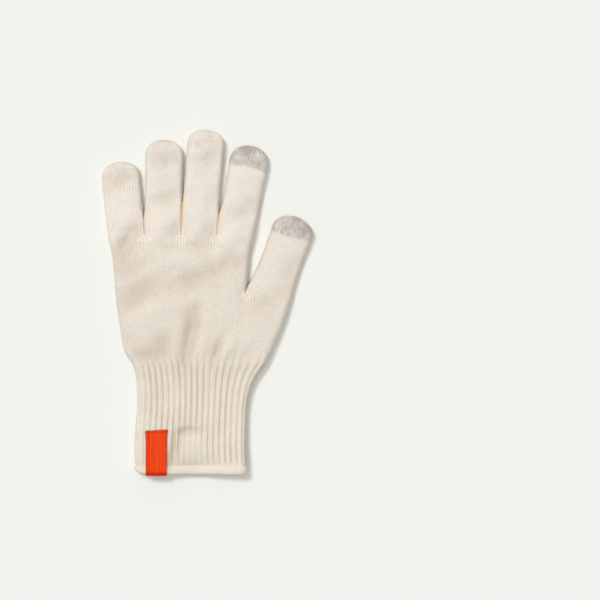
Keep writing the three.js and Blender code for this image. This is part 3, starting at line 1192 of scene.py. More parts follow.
@dataclass
class Cuff:
    """The ribbed cuff: forty-two ribs round, which fade out into the palm above."""

    origin: Vector
    finish: KnitFinish
    relief: Relief
    width: float = 78.6
    bottom: float = 6.5
    length: float = 70.6
    thickness: float = 11.0
    wall: float = 2.0
    tuck: float = 2.0
    rib_depth: float = 0.68
    rib_profile: tuple[float, ...] = (0.1, 0.0, 0.08, 0.55, 1.0, 0.6, 0.12, 0.0)
    rib_start: float = 3.0
    rib_even: float = 0.9
    rib_uneven: float = 0.5
    uneven_size: Range = (9.0, 22.0)
    uneven_layer: float = 5.0
    fade_range: Range = (72.0, 89.0)
    side_rib: float = 0.25
    side_range: Range = (2.0, 10.0)
    fan_power: int = 4
    seam_gap: float = 0.3
    row_height: float = 1.45
    columns: Columns = field(default_factory=Columns)
    # Each row is a share of the length, then the left edge, the right edge and how far the
    # right side fans out past it, as shares of the width.
    rows: tuple[tuple[float, ...], ...] = (
        (0.0, -0.497, 0.499, 0.0),
        (0.18, -0.5, 0.491, 0.0),
        (0.38, -0.49, 0.492, 0.003),
        (0.58, -0.476, 0.495, 0.01),
        (0.74, -0.477, 0.498, 0.034),
        (0.86, -0.487, 0.502, 0.078),
        (0.94, -0.5, 0.508, 0.122),
        (1.0, -0.522, 0.526, 0.146),
    )
    flat_patch: Fold = Fold(x=1.5, y=18.0, turn=90, long=13.0, broad=8.5, deep=0.85)
    mouth_tuck: float = 1.1
    mouth_range: Range = (-1.0, 2.5)
    # The yarn darkens from here up to the top of the cuff.
    cuff_darkening_from: float = 60.0
    corner_lift: float = 3.0
    corner_range: Range = (8.0, 38.0)
    label_lift: float = 2.0
    label_middle: float = -22.0
    label_reach: float = 12.0
    lift_range: Range = (4.0, 44.0)
    # Creases beside the label, where warm bounce light and shade are painted in.
    painted_bounce_creases: tuple[Fold, ...] = (
        Fold(x=-11.1, y=22.0, turn=88, long=8.0, broad=0.9, deep=0.6),
        Fold(x=-6.9, y=29.8, turn=84, long=3.0, broad=1.0, deep=0.7),
        Fold(x=-15.4, y=12.4, turn=88, long=6.0, broad=1.3, deep=0.7),
    )

    @property
    def top(self) -> float:
        """The height where the palm starts."""
        return self.bottom + self.length + self.seam_gap

    def share(self, column: int, fan: float) -> float:
        """The place of a column round the loop, where the ribs on the right fan out.

        Args:
            column: the column's number, from the left edge.
            fan: how much the ribs fan out, from 0 to 1.

        Returns:
            The share of the loop's width that lies to its left.
        """
        even = (column % self.columns.whole) / self.columns.whole

        def fanned(half: float) -> float:
            """A share of one half of the loop, drawn towards its left end."""
            return half * (1 - fan) + fan * half**self.fan_power

        return fanned(even * 2) / 2 if even < 0.5 else 1 - fanned((1 - even) * 2) / 2

    def rib(self, column: int, x: float, y: float) -> float:
        """How deep the groove between two ribs is at a place, as a share.

        Args:
            column: the column's number, from the left side.
            x: the place across.
            y: the place up the cuff.

        Returns:
            0 on a rib and up to 1 in a groove.
        """
        groove = self.rib_profile[column % len(self.rib_profile)]
        fading = 1 - ramp(y, *self.fade_range)
        starting = ramp(y, self.bottom, self.bottom + self.rib_start)
        from_left = x - self.rows[1][1] * self.width
        beside = between(self.side_rib, 1.0, ramp(from_left, *self.side_range))
        across, up = self.uneven_size
        uneven = noise.noise(Vector((x / across, y / up, self.uneven_layer)))
        strength = min(self.rib_even + self.rib_uneven * uneven, 1.0)
        flattened = 1 - self.flat_patch.depth(x, y)
        return groove * fading * starting * beside * strength * flattened

    def section(self, y: float) -> list[Spot]:
        """The cross-section at a height, without ribs and folds.

        Args:
            y: the height up the glove.

        Returns:
            Its places, which start where the round left side meets the upper side.
        """
        up = min(max((y - self.bottom) / self.length, 0.0), 1.0)
        left, right, fan = read_rows(self.rows, up)
        loop = FlatLoop(left * self.width, (right + fan) * self.width, 0.0, self.thickness)
        bend = fan * self.width / (loop.right - loop.left)
        found = []
        for column in range(self.columns.whole):
            place, out = loop.at(self.share(column + self.columns.side // 2, bend))
            found.append(Spot(x=place.x, z=place.z, above=max(out.z, 0.0)))
        return found

    def lift(self, x: float, y: float) -> float:
        """How far the mouth stands off the floor, at its right corner and below the label.

        Args:
            x: how far across the glove the place is.
            y: how far up the glove it is.

        Returns:
            The lift in millimetres.
        """
        at_corner = self.corner_lift * ramp(x, *self.corner_range)
        at_label = self.label_lift * bell((x - self.label_middle) / self.label_reach)
        return (at_corner + at_label) * (1 - ramp(y, *self.lift_range))

    def ribbed(self, spot: Spot, column: int, y: float, half: float) -> tuple[Vector, float]:
        """Moves a place of the section inwards into its groove, and down with the folds.

        Args:
            spot: the place in the section.
            column: the column's number, from the left side.
            y: the height up the glove.
            half: half of the section's thickness.

        Returns:
            The place, and how deep in a groove it is, as a share.
        """
        groove = self.rib(column, spot.x, y)
        up = (spot.z - half) / half
        tucked = self.mouth_tuck * (1 - ramp(y - self.bottom, *self.mouth_range))
        depth = groove * self.rib_depth + tucked
        out = math.sqrt(max(1 - up * up, 0.0)) * (1 if spot.x > 0 else -1)
        sink = self.relief.sink(spot.x, y) * spot.above
        z = spot.z - up * depth - sink + self.lift(spot.x, y)
        return Vector((spot.x - out * depth, y, z)), groove

    def course(self, y: float, wales: list[float]) -> Course:
        """One course of the cuff at a height.

        Args:
            y: the height of the course.
            wales: the wale of each column.

        Returns:
            The course.
        """
        loops = []
        for i, spot in enumerate(self.section(y)):
            column = i + self.columns.side // 2
            place, groove = self.ribbed(spot, column, y, self.thickness / 2)
            # Painted shade in the folds' hollows, on the upper side.
            hollow = self.relief.hollow(spot.x, y) * spot.above
            # The yarn darkens towards the top of the cuff.
            loose = ramp(y, self.cuff_darkening_from, self.top)
            # Painted warm bounce light and shade in the creases beside the label.
            painted_bounce = sum(fold.depth(spot.x, y) for fold in self.painted_bounce_creases) * spot.above
            loops.append(
                Loop(place=place, level=y, groove=groove, crease=painted_bounce, hollow=hollow, loose=loose)
            )
        return Course(loops=loops, wales=wales)

    def build(self) -> bpy.types.Object:
        """Knits the cuff, gives it its wall and puts it in the frame.

        Returns:
            The cuff.
        """
        middle = [Vector((spot.x, 0.0, spot.z)) for spot in self.section(self.top / 2)]
        wales = wale_marks(middle, [0.0])
        knitting = Knitting(self.origin)
        steps = round((self.top - self.bottom + self.tuck) / self.row_height)
        first, *rest = spread(self.bottom - self.tuck, self.top, steps)
        knitting.cast_on(self.course(first, wales))
        for y in rest:
            knitting.knit(self.course(y, wales))
        piece = knitting.finish("rib_cuff")
        add_wall(piece, self.wall)
        piece.data.materials.append(self.finish.dress())
        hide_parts("cuff")
        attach(piece, "root")
        return piece


@dataclass
class Hem:
    """The thick rolled edge that the cuff starts from."""

    origin: Vector
    finish: KnitFinish
    cuff: Cuff
    depth: float = 6.2
    wall: float = 3.0
    rise: float = 0.2
    lift: float = 1.9
    lift_reach: float = 10.0
    unevenness: float = 0.28
    lump_size: float = 5.0
    way_round: float = 3.0
    columns: int = 260
    turns: int = 18

    def loop(self) -> FlatLoop:
        """The line down the middle of the roll.

        Returns:
            The flat loop.
        """
        outline = self.cuff.rows[0]
        return FlatLoop(
            left=outline[1] * self.cuff.width + self.wall / 2 - self.rise,
            right=outline[2] * self.cuff.width - self.wall / 2 + self.rise,
            bottom=self.wall / 2,
            top=self.cuff.thickness - self.wall / 2 + self.rise,
        )

    def roll(self, turn: float, wales: list[float]) -> Course:
        """One line along the roll.

        Args:
            turn: how far round the roll it is, as a share of a full turn.
            wales: the wale mark of each loop.

        Returns:
            The course.
        """
        loop = self.loop()
        angle = turn * math.tau
        loops = []
        for column in range(self.columns):
            place, out = loop.at(column / self.columns)
            lumpy = noise.noise(Vector((place.x, place.z, 0.0)) / self.lump_size) * self.unevenness
            outward = -(self.wall / 2) * math.cos(angle)
            corner = 1 - ramp(place.x, loop.left, loop.left + self.lift_reach)
            lower = between(0.0, self.lift, corner * corner)
            half = (self.depth - lower) / 2
            y = lower + lumpy + half * (1 - math.sin(angle))
            sink = self.cuff.relief.sink(place.x, y) * max(out.z, 0.0)
            z = place.z + outward * out.z + self.cuff.lift(place.x, y) - sink
            at = Vector((place.x + outward * out.x, y, z))
            loops.append(Loop(place=at, level=turn * self.way_round * self.depth))
        return Course(loops=loops, wales=wales)

    def build(self) -> bpy.types.Object:
        """Knits the roll and puts it in the frame.

        Returns:
            The hem.
        """
        line = [self.loop().at(column / self.columns)[0] for column in range(self.columns)]
        wales = wale_marks(line, [0.0])
        knitting = Knitting(self.origin)
        first, *rest = spread(0.0, 1.0, self.turns)
        knitting.cast_on(self.roll(first, wales))
        for turn in rest:
            knitting.knit(self.roll(turn, wales))
        piece = knitting.finish("hem_roll")
        piece.data.materials.append(self.finish.dress())
        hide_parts("cuff_hem")
        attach(piece, "root")
        return piece


@dataclass
class Hand:
    """The plain-knit palm with its four fingers and thumb, and the grey touch tips."""

    origin: Vector
    cuff: Cuff
    finish: KnitFinish
    touch_finish: KnitFinish
    relief: Relief
    width: float = 102.6
    length: float = 88.5
    fork_height: float = 48.5
    thickness: float = 11.0
    crown: float = 0.9
    digit_crown: float = 0.8
    wall: float = 1.4
    touch_tip: float = 16.0
    thumb_lean: float = 19.9
    dimple_depth: float = 2.4
    dimple_reach: float = 3.6
    drawn_reach: float = 5.5
    drawn_below: float = 0.6
    drawn_until: float = 6.0
    cuff_until: float = 0.5
    crown_until: float = 0.3
    parting_range: Range = (0.3, 1.0)
    fork_range: Range = (0.8, 1.0)
    fingers_range: Range = (0.7, 1.0)
    beside_thumb: float = 0.2
    web_reach: float = 12.0
    bounce_side: Range = (0.3, 0.8)
    bounce_above: Range = (2.0, 8.0)
    row_height: float = 1.5
    tip_share: float = 0.41
    tip_squareness: float = 2.2
    tip_flatness: float = 3.0
    tip_rows: int = 12
    round_after: float = 9.0
    straight_after: float = 15.0
    low_edge: float = 0.16
    thin: float = 10.4
    thin_range: Range = (92.0, 150.0)
    # The palm's darker yarn fades out towards the fingers and up them; the thumb's is even.
    palm_darkening_range: Range = (-2.0, 22.0)
    finger_darkening_until: float = 10.0
    thumb_loose: float = 0.75
    low_smooth: float = 0.4
    low_range: Range = (100.0, 130.0)
    smooth_from: float = 12.0
    tip_smooth: float = -0.4
    tip_range: Range = (14.0, 30.0)
    uneven: float = 0.45
    uneven_reach: float = 4.5
    upright_share: float = 0.22
    upright_range: Range = (5.0, 32.0)
    bow_end: float = 1.0
    most_side: float = 0.8
    inward_range: Range = (0.2, 0.7)
    touch_full: float = 0.6
    high_crease: float = 0.74
    most_belly: float = 0.5
    press: float = 0.06
    tip_edge: float = 0.56
    tip_edge_range: Range = (0.5, 1.0)
    palm_edge: float = 0.36
    web_edge: float = 0.12
    # How far from its root each digit touches its left and its right neighbour.
    touch_ends: dict[str, Range] = field(
        default_factory=lambda: {
            "little": (0.0, 19.0),
            "ring": (19.0, 32.0),
            "middle": (32.0, 21.0),
            "index": (21.0, 0.0),
            "thumb": (9.0, 0.0),
        }
    )
    columns: Columns = field(default_factory=Columns)
    # Each row is a share of the fork's height, then the left edge, the line under the thumb's
    # fork and the right edge, as shares of the width.
    lower_rows: tuple[tuple[float, ...], ...] = (
        (0.0, -0.3999, 0.335, 0.5148),
        (0.15, -0.446, 0.342, 0.541),
        (0.32, -0.468, 0.35, 0.57),
        (0.5, -0.482, 0.359, 0.601),
        (0.68, -0.495, 0.367, 0.628),
        (0.85, -0.506, 0.371, 0.649),
        (1.0, -0.514, 0.374, 0.664),
    )
    # Each row is a share of the way from the fork to the fingers, then the left and the right
    # edge, as shares of the width, and how round the right side is.
    upper_rows: tuple[tuple[float, ...], ...] = (
        (0.0, -0.514, 0.374, 0.0),
        (0.09, -0.518, 0.379, 0.5),
        (0.25, -0.522, 0.391, 1.0),
        (0.5, -0.53, 0.4, 1.0),
        (0.72, -0.542, 0.409, 1.0),
        (0.9, -0.559, 0.423, 1.0),
        (1.0, -0.566, 0.434, 1.0),
    )
    # Name, length, root width, width, root x and y, lean, thickness, outer side and bows.
    fingers: tuple[Digit, ...] = (
        Digit("little", 52.4, 25.7, 27.0, -45.221, 166.2, -5.188, 8.6, outer_side=-1),
        Digit("ring", 67.6, 25.3, 26.4, -19.721, 166.2, 1.1, 8.9),
        Digit("middle", 74.8, 24.9, 26.0, 5.379, 166.2, 4.528, 9.4),
        Digit("index", 64.4, 26.7, 27.0, 31.179, 166.2, 10.298, 9.0, 1, -0.5, -1.8, touch=True),
    )
    thumb: Digit = Digit(
        "thumb", 62.6, 31.64, 28.8, 53.352, 120.796, 19.9, 9.2, 1, 0.0, 2.6, touch=True, smooth=0.7
    )

    @property
    def bottom(self) -> float:
        """The height where the palm starts."""
        return self.cuff.top

    @property
    def top(self) -> float:
        """The height of the fingers' roots."""
        return self.bottom + self.length

    @property
    def fork_y(self) -> float:
        """The height of the fork between the thumb and the index finger."""
        return self.bottom + self.fork_height

    def forks(self) -> list[Vector]:
        """Works out where two digits part.

        Returns:
            The three forks of the fingers, and the fork of the thumb.
        """
        left, right, _ = self.upper_rows[-1][1:]
        reached, found = 0.0, []
        for finger in self.fingers[:-1]:
            reached += finger.root_width / self.width
            found.append(Vector((between(left, right, reached) * self.width, self.top, 0.0)))
        found.append(Vector((self.lower_rows[-1][2] * self.width, self.fork_y, 0.0)))
        return found

    def drawn(self, place: Vector) -> float:
        """How far the loops at a place are drawn in towards a fork.

        Args:
            place: the place.

        Returns:
            The share, from 0 to 1.
        """
        reach = self.drawn_reach
        return max(
            bell((place.x - fork.x) / reach) * bell((place.y - fork.y) / reach + self.drawn_below)
            for fork in self.forks()
        )

    def drop(self, place: Vector) -> float:
        """How far a place lies below the nearest fork, in millimetres."""
        nearest = min(self.forks(), key=lambda fork: (place.xy - fork.xy).length)
        return nearest.y - place.y

    def dimple(self, distance: float, closeness: float) -> float:
        """How far the cloth is drawn down beside a fork."""
        return closeness * self.dimple_depth * bell(distance / self.dimple_reach)

    def panel_stops(self, edges: tuple[float, float], ends: tuple[float, float]) -> list[float]:
        """The places across the fingers' four panels.

        Args:
            edges: the left and right edges that the panels share out.
            ends: where the flat upper side starts and ends.

        Returns:
            The places from left to right, with one where each panel meets the next.
        """
        reached, corners = 0.0, [ends[0]]
        for finger in self.fingers[:-1]:
            reached += finger.root_width / self.width
            corners.append(between(*edges, reached))
        corners.append(ends[1])
        stops = corners[:1]
        for corner, following in zip(corners, corners[1:]):
            stops += spread(corner, following, self.columns.finger)[1:]
        return stops

    def lower_ring(self, up: float) -> list[Loop]:
        """The loops of a course below the thumb's fork.

        Args:
            up: its share of the fork's height.

        Returns:
            The loops round the palm and the thumb's base.
        """
        left, fork, right = (value * self.width for value in read_rows(self.lower_rows, up))
        half = self.thickness / 2
        first, last = left + half, right - half
        thumb_stops = spread(fork, last, self.columns.thumb)[1:]
        stops = self.panel_stops((left, fork), (first, fork)) + thumb_stops
        level = self.bottom + up * self.fork_height
        heights = (0.0, self.thickness_at(level))
        lows = (self.palm_edge, self.palm_edge)
        spots = cross_section(stops, (left, right), heights, self.columns.side, lows)
        from_cuff = 1 - ramp(up, 0.0, self.cuff_until)
        parting = ramp(up, *self.parting_range)
        near_fork = ramp(up, *self.fork_range)
        slope = up * math.tan(math.radians(self.thumb_lean))
        cuff_spots = self.cuff_columns(left, right) if from_cuff > 0 else spots
        crown = self.crown * ramp(up, 0.0, self.crown_until)
        loops = []
        for i, (spot, below) in enumerate(zip(spots, cuff_spots)):
            x = between(spot.x, below.x, from_cuff)
            z = between(spot.z, below.z, from_cuff)
            above = between(spot.above, below.above, from_cuff)
            whole = arch(x, first, last, crown)
            parted = arch(x, first, fork, crown) + arch(x, fork, last, crown)
            rise = between(whole, parted, parting) - self.dimple(x - fork, near_fork)
            y = level - slope * max(x - fork, 0.0)
            shaped = Spot(x=x, z=z, above=above)
            column = i + self.columns.side // 2
            groove = self.cuff.rib(column, x, level)
            place = self.sunk(shaped, y, rise, groove * self.cuff.rib_depth)
            loops.append(self.loop(place, level, groove=groove))
        return loops

    def thickness_at(self, level: float) -> float:
        """How thick the palm lies at a height."""
        return between(self.thickness, self.thin, ramp(level, *self.thin_range))

    def loop(self, place: Vector, level: float, groove: float = 0.0, crease: float = 0.0) -> Loop:
        """A loop of the palm, with what it carries from the forks near it.

        Args:
            place: where it is.
            level: its level on the chart.
            groove: how deep it is in a rib's groove, which the finish paints in shade.
            crease: how much painted warm bounce light it carries in a crease.

        Returns:
            The loop.
        """
        return Loop(
            place=place,
            level=level,
            groove=groove,
            drawn=self.drawn(place),
            crease=crease,
            drop=self.drop(place),
            # Painted shade in the folds' hollows.
            hollow=self.relief.hollow(place.x, place.y),
            # The palm's yarn is darker, fading out towards the fingers.
            loose=ramp(self.top - level, *self.palm_darkening_range),
            smooth=self.low_smooth * (1 - ramp(level, *self.low_range)),
        )

    def cuff_columns(self, left: float, right: float) -> list[Spot]:
        """The cuff's own columns, spread over the palm's edges at another height.

        Args:
            left: the palm's left edge there.
            right: its right edge.

        Returns:
            The spread columns.
        """
        base = self.cuff.section(self.cuff.top)
        low, high = min(spot.x for spot in base), max(spot.x for spot in base)
        stretch = (right - left - self.thickness) / (high - low - self.thickness)
        half = self.thickness / 2
        found = []
        for spot in base:
            inside = min(max(spot.x, low + half), high - half)
            moved = left + half + (inside - low - half) * stretch
            found.append(Spot(x=moved + spot.x - inside, z=spot.z, above=spot.above))
        return found

    def sunk(self, spot: Spot, y: float, rise: float, groove: float) -> Vector:
        """Puts a place of a section where the folds, the crown and the ribs have it.

        Args:
            spot: the place in the section.
            y: its height up the glove.
            rise: how far the crown lifts the upper side there.
            groove: how deep the groove between two ribs is there.

        Returns:
            The place.
        """
        half = self.thickness / 2
        up = (spot.z - half) / half
        out = math.sqrt(max(1 - up * up, 0.0)) * (1 if spot.x > 0 else -1)
        sink = self.relief.sink(spot.x, y)
        z = spot.z - up * groove + (rise - sink) * spot.above
        return Vector((spot.x - out * groove, y, z))

    def upper_ring(self, up: float) -> list[Loop]:
        """The loops of a course between the thumb's fork and the fingers.

        Args:
            up: its share of the way from the fork to the fingers.

        Returns:
            The loops round the palm.
        """
        left, right, roundness = read_rows(self.upper_rows, up)
        left, right = left * self.width, right * self.width
        roundness = min(max(roundness, 0.0), 1.0)
        half = self.thickness / 2
        first, last = left + half, right - half * roundness
        stops = self.panel_stops((left, right), (first, last))
        y = between(self.fork_y, self.top, up)
        heights = (0.0, self.thickness_at(y))
        above_fork = y - self.fork_y
        web = between(self.high_crease, self.web_edge, ramp(above_fork, 0.0, self.web_reach))
        lows = (between(self.palm_edge, self.low_edge, up), web)
        spots = cross_section(stops, (left, right), heights, self.columns.side, lows)
        near_fingers = ramp(up, *self.fingers_range)
        near_thumb = 1 - ramp(up, 0.0, self.beside_thumb)
        bounce_near_fork = 1 - ramp(above_fork, *self.bounce_above)
        forks = [stops[self.columns.finger * k] for k in range(1, len(self.fingers))]
        loops = []
        for spot in spots:
            rise = arch(spot.x, first, last, self.crown)
            rise -= sum(self.dimple(spot.x - fork, near_fingers) for fork in forks)
            rise -= self.dimple(spot.x - right, near_thumb)
            place = self.sunk(spot, y, rise, 0.0)
            # Painted warm bounce light on the sides just above the thumb's fork.
            crease = ramp(spot.beside, *self.bounce_side) * bounce_near_fork
            loops.append(self.loop(place, y, crease=crease))
        return loops

    def seam(self, top: Loop, under: Loop) -> list[Loop]:
        """The loops that go down a fork, from the upper side to the underside.

        Args:
            top: the loop of the upper side at the fork.
            under: the loop of the underside there.

        Returns:
            The loops between the two.
        """
        found = []
        for angle in spread(math.pi / 2, -math.pi / 2, self.columns.side)[1:-1]:
            rise = math.sin(angle)
            above, below = (1 - self.high_crease) * (1 - rise), 1 - self.high_crease * (1 + rise)
            share = above if rise > 0 else below
            place = top.place.lerp(under.place, share)
            # The seam's loops carry full painted warm bounce light.
            found.append(Loop(place=place, level=top.level, drawn=1.0, crease=1.0))
        return found

    def yarn_change(self, digit: Digit) -> float:
        """How far from a digit's root its yarn would change for a touch tip."""
        return digit.length - self.touch_tip

    def slot_width(self, digit: Digit, side: int, along: float) -> float:
        """How wide the slot between a finger and its neighbour is.

        Args:
            digit: the finger.
            side: -1 for its left side and 1 for its right side.
            along: the distance from its root.

        Returns:
            The width in millimetres, up to the widest that still counts as a slot.
        """
        widest = 2 * self.most_belly
        if digit is self.thumb:
            return widest
        at = self.fingers.index(digit)
        pair = sorted((at, at + side))
        left, right = (self.fingers[k] for k in pair)
        grown = ramp(along, 0.0, digit.width) * ramp(along, 0.0, self.straight_after)
        halves = [between(d.root_width, d.width, grown) / 2 for d in (left, right)]
        leans = [math.tan(math.radians(d.lean)) for d in (left, right)]
        gap = right.root_x - left.root_x + along * (leans[1] - leans[0]) - sum(halves)
        return min(max(gap, 0.0), widest)

    def touching(self, digit: Digit, side: int, along: float) -> float:
        """How much a side of a digit touches its neighbour.

        Args:
            digit: the digit.
            side: -1 for its left side and 1 for its right side.
            along: the distance from its root.

        Returns:
            The share, from 0 to 1.
        """
        if side == digit.outer_side:
            return 0.0
        end = self.touch_ends[digit.name][side > 0]
        return 1 - ramp(along, end * self.touch_full, end)

    def digit_ring(self, digit: Digit, along: float, root: list[Loop]) -> list[Loop]:
        """The loops of a course of a digit.

        Args:
            digit: the digit.
            along: the distance from its root.
            root: the loops that the digit is knitted from.

        Returns:
            As many loops as the root has.
        """
        tip_reach = digit.width * self.tip_share
        beyond = min(max((along - digit.length + tip_reach) / tip_reach, 0.0), 1.0)
        taper = math.sqrt(max(1 - beyond**self.tip_squareness, 0.0))
        flatten = math.sqrt(max(1 - beyond**self.tip_flatness, 0.0))
        is_thumb = digit is self.thumb
        start_half = digit.root_width / 2 * (1 if is_thumb else math.cos(math.radians(digit.lean)))
        half_width = between(start_half, digit.width / 2, ramp(along, 0.0, digit.width)) * taper
        root_thickness = self.thickness_at(root[0].level)
        thickness = between(root_thickness, digit.thickness, ramp(along, 0.0, digit.width))
        half = thickness / 2 * flatten
        inner_share = between(self.upright_share, 1.0, ramp(along, *self.upright_range))
        reaches = []
        for side in (-1, 1):
            share = 1.0 if side == digit.outer_side else inner_share
            reaches.append(min(half * share, half_width * self.most_side))
        first, last = reaches[0] - half_width, half_width - reaches[1]
        panel = self.columns.thumb if is_thumb else self.columns.finger
        stops = spread(first, last, panel)
        heights = (thickness / 2 - half, thickness / 2 + half)
        edges = (-half_width, half_width)
        touching = [self.touching(digit, side, along) for side in (-1, 1)]
        tipward = ramp(along / digit.length, *self.tip_edge_range)
        free = between(self.low_edge, self.tip_edge, tipward)
        lows = tuple(between(free, self.high_crease, share) for share in touching)
        spots = cross_section(stops, edges, heights, self.columns.side, lows)
        rounded = ramp(along, 0.0, self.round_after)
        straight = ramp(along, 0.0, self.straight_after)
        skew = max(1 - along / digit.width, 0.0)
        seam = self.yarn_change(digit)
        bowed = ramp(along, 0.0, seam) * (1 - ramp(along, seam, digit.length - self.bow_end))
        loops = []
        for spot, base in zip(spots, root):
            rooted = digit.to_digit(base.place)
            side = min(max(spot.x / half_width, -1.0), 1.0) if half_width > 0 else 0.0
            bow = (digit.left_bow if side < 0 else digit.right_bow) * side * side * bowed
            turned = 0 if abs(spot.beside) < SAME_PLACE else int(math.copysign(1, spot.beside))
            touch = touching[turned > 0] if turned else 0.0
            inward = ramp(abs(spot.beside), *self.inward_range) * touch
            half_slot = self.slot_width(digit, turned, along) / 2 + self.press if inward else 0.0
            belly = turned * inward * half_slot
            at_root = digit.to_glove(rooted.x, along + rooted.y * skew, rooted.z)
            uneven = self.uneven * noise.noise(Vector((spot.x, along, spot.z)) / self.uneven_reach)
            across = spot.x + uneven * side * flatten
            at_tube = digit.to_glove(across, along + bow + rooted.y * skew, spot.z)
            sink = self.relief.sink(at_tube.x, at_tube.y) * flatten
            rise = arch(spot.x, first, last, self.digit_crown) * flatten
            at_tube.z += (rise - sink) * spot.above
            place = at_root.lerp(at_tube, straight)
            place.z = between(at_root.z, at_tube.z, rounded)
            place += digit.sideways() * belly
            # Where digits touch, their sides carry painted warm bounce light.
            loop = self.loop(place, base.level + along, crease=inward * touch)
            self.mark_loop(loop, digit, along, base.loose)
            loops.append(loop)
        return loops

    def mark_loop(self, loop: Loop, digit: Digit, along: float, root_loose: float) -> None:
        """Marks a digit's loop for the finishes.

        Args:
            loop: the loop.
            digit: its digit.
            along: its distance from the digit's root.
            root_loose: how much the root's yarn is darkened.
        """
        loop.drawn *= 1 - ramp(along, 0.0, self.drawn_until)
        # The thumb's yarn is darkened, and the palm's darkening fades out up each finger.
        if digit is self.thumb:
            loop.loose = self.thumb_loose
        else:
            loop.loose = root_loose * (1 - ramp(along, 0.0, self.finger_darkening_until))
        smooth = digit.smooth * ramp(along, 0.0, self.smooth_from)
        if digit.touch:
            loop.smooth = smooth
            loop.join = along - self.yarn_change(digit)
        else:
            from_tip = ramp(digit.length - along, *self.tip_range)
            loop.smooth = between(self.tip_smooth, smooth, from_tip)

    def stations(self, digit: Digit) -> list[float]:
        """Works out where the courses of a digit lie, up to where the tip is drawn shut.

        Args:
            digit: the digit.

        Returns:
            The courses' distances from its root.
        """
        straight = digit.length - digit.width * self.tip_share
        turn = spread(0.0, math.pi / 2, self.tip_rows)[1:-1]
        rounded = [straight + (digit.length - straight) * math.sin(angle) for angle in turn]
        change = [self.yarn_change(digit)] if digit.touch else []
        marks = [0.0, *change, straight]
        found = []
        for start, end in zip(marks, marks[1:]):
            found += spread(start, end, round((end - start) / self.row_height))[1:]
        return found + rounded

    def knit_digit(
        self, knitting: Knitting, digit: Digit, root: list[Loop], panel: list[float]
    ) -> Knitting:
        """Knits a digit onto its root, and changes to grey yarn for a touch tip.

        Args:
            knitting: the hand.
            digit: the digit.
            root: the loops that it starts from.
            panel: the wale marks of its upper side.

        Returns:
            The knitting that holds its tip.
        """
        middle = self.digit_ring(digit, digit.length / 2, root)
        wales = wale_marks([loop.place for loop in middle], panel)
        knitting.cast_on(Course(loops=root, wales=wales))
        current = knitting
        for along in self.stations(digit):
            course = Course(loops=self.digit_ring(digit, along, root), wales=wales)
            current.knit(course)
            if digit.touch and math.isclose(along, self.yarn_change(digit)):
                current = Knitting(self.origin)
                current.cast_on(course)
        tip = digit.to_glove(0.0, digit.length, digit.thickness / 2)
        current.gather(tip, current.last.loops[0].level + 1)
        return current

    def knit_hand(self) -> tuple[Knitting, dict[str, Knitting]]:
        """Knits the palm, divides its loops among the digits and knits those.

        Returns:
            The hand, and the tips in grey yarn by the name of their digit.
        """
        columns = self.columns
        knitting = Knitting(self.origin)
        steps = round(self.fork_height / self.row_height)
        rings = [self.lower_ring(up) for up in spread(0.0, 1.0, steps)]
        wales = wale_marks([loop.place for loop in rings[steps // 2]], [0.0])
        knitting.cast_on(Course(loops=rings[0], wales=wales))
        for ring in rings[1:]:
            knitting.knit(Course(loops=ring, wales=wales))
        whole = rings[-1]
        fork, corner = columns.palm, columns.palm + columns.thumb
        under_corner = corner + columns.side
        under_fork = under_corner + columns.thumb
        thumb_seam = self.seam(whole[fork], whole[under_fork])
        upper_root = whole[: fork + 1] + thumb_seam + whole[under_fork:]
        thumb_root = whole[fork : under_fork + 1] + list(reversed(thumb_seam))
        steps = round((self.top - self.fork_y) / self.row_height)
        rings = [self.upper_ring(up) for up in spread(0.0, 1.0, steps)]
        upper_wales = wale_marks([loop.place for loop in rings[steps // 2]], wales[: fork + 1])
        knitting.cast_on(Course(loops=upper_root, wales=upper_wales))
        for ring in rings[1:]:
            knitting.knit(Course(loops=ring, wales=upper_wales))
        thumb = self.knit_digit(knitting, self.thumb, thumb_root, wales[fork : corner + 1])
        tips = {self.thumb.name: thumb}
        self.knit_fingers(knitting, rings[-1], upper_wales, tips)
        return knitting, tips

    def knit_fingers(
        self, knitting: Knitting, roots: list[Loop], wales: list[float], tips: dict[str, Knitting]
    ) -> None:
        """Divides the palm's last course among the four fingers and knits them.

        Args:
            knitting: the hand.
            roots: the palm's last course.
            wales: its wale marks.
            tips: takes the tips that are in grey yarn.
        """
        columns = self.columns
        under = 2 * columns.palm + columns.side
        seams = [[]]
        for k in range(1, len(self.fingers)):
            at = k * columns.finger
            seams.append(self.seam(roots[at], roots[under - at]))
        right_side = roots[columns.palm + 1 : columns.palm + columns.side]
        left_side = roots[under + 1 :]
        for k, finger in enumerate(self.fingers):
            start, end = k * columns.finger, (k + 1) * columns.finger
            right = seams[k + 1] if k + 1 < len(seams) else right_side
            left = list(reversed(seams[k])) if k else left_side
            root = roots[start : end + 1] + right + roots[under - end : under - start + 1] + left
            made = self.knit_digit(knitting, finger, root, wales[start : end + 1])
            if finger.touch:
                tips[finger.name] = made

    def build(self) -> list[bpy.types.Object]:
        """Knits the hand and its touch tips and puts them in the frame.

        Returns:
            The hand and its two touch tips.
        """
        knitting, tips = self.knit_hand()
        hand = knitting.finish("knit_hand")
        hand.data.materials.append(self.finish.dress())
        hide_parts("palm", "thumb", *(f"{finger.name}_finger" for finger in self.fingers))
        pieces = [hand]
        grey = self.touch_finish.dress()
        for name, tip in tips.items():
            piece = tip.finish(f"{name}_touch_knit")
            piece.data.materials.append(grey)
            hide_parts(f"{name}_touch_tip")
            pieces.append(piece)
        for piece in pieces:
            add_wall(piece, self.wall)
            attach(piece, "root")
        return pieces


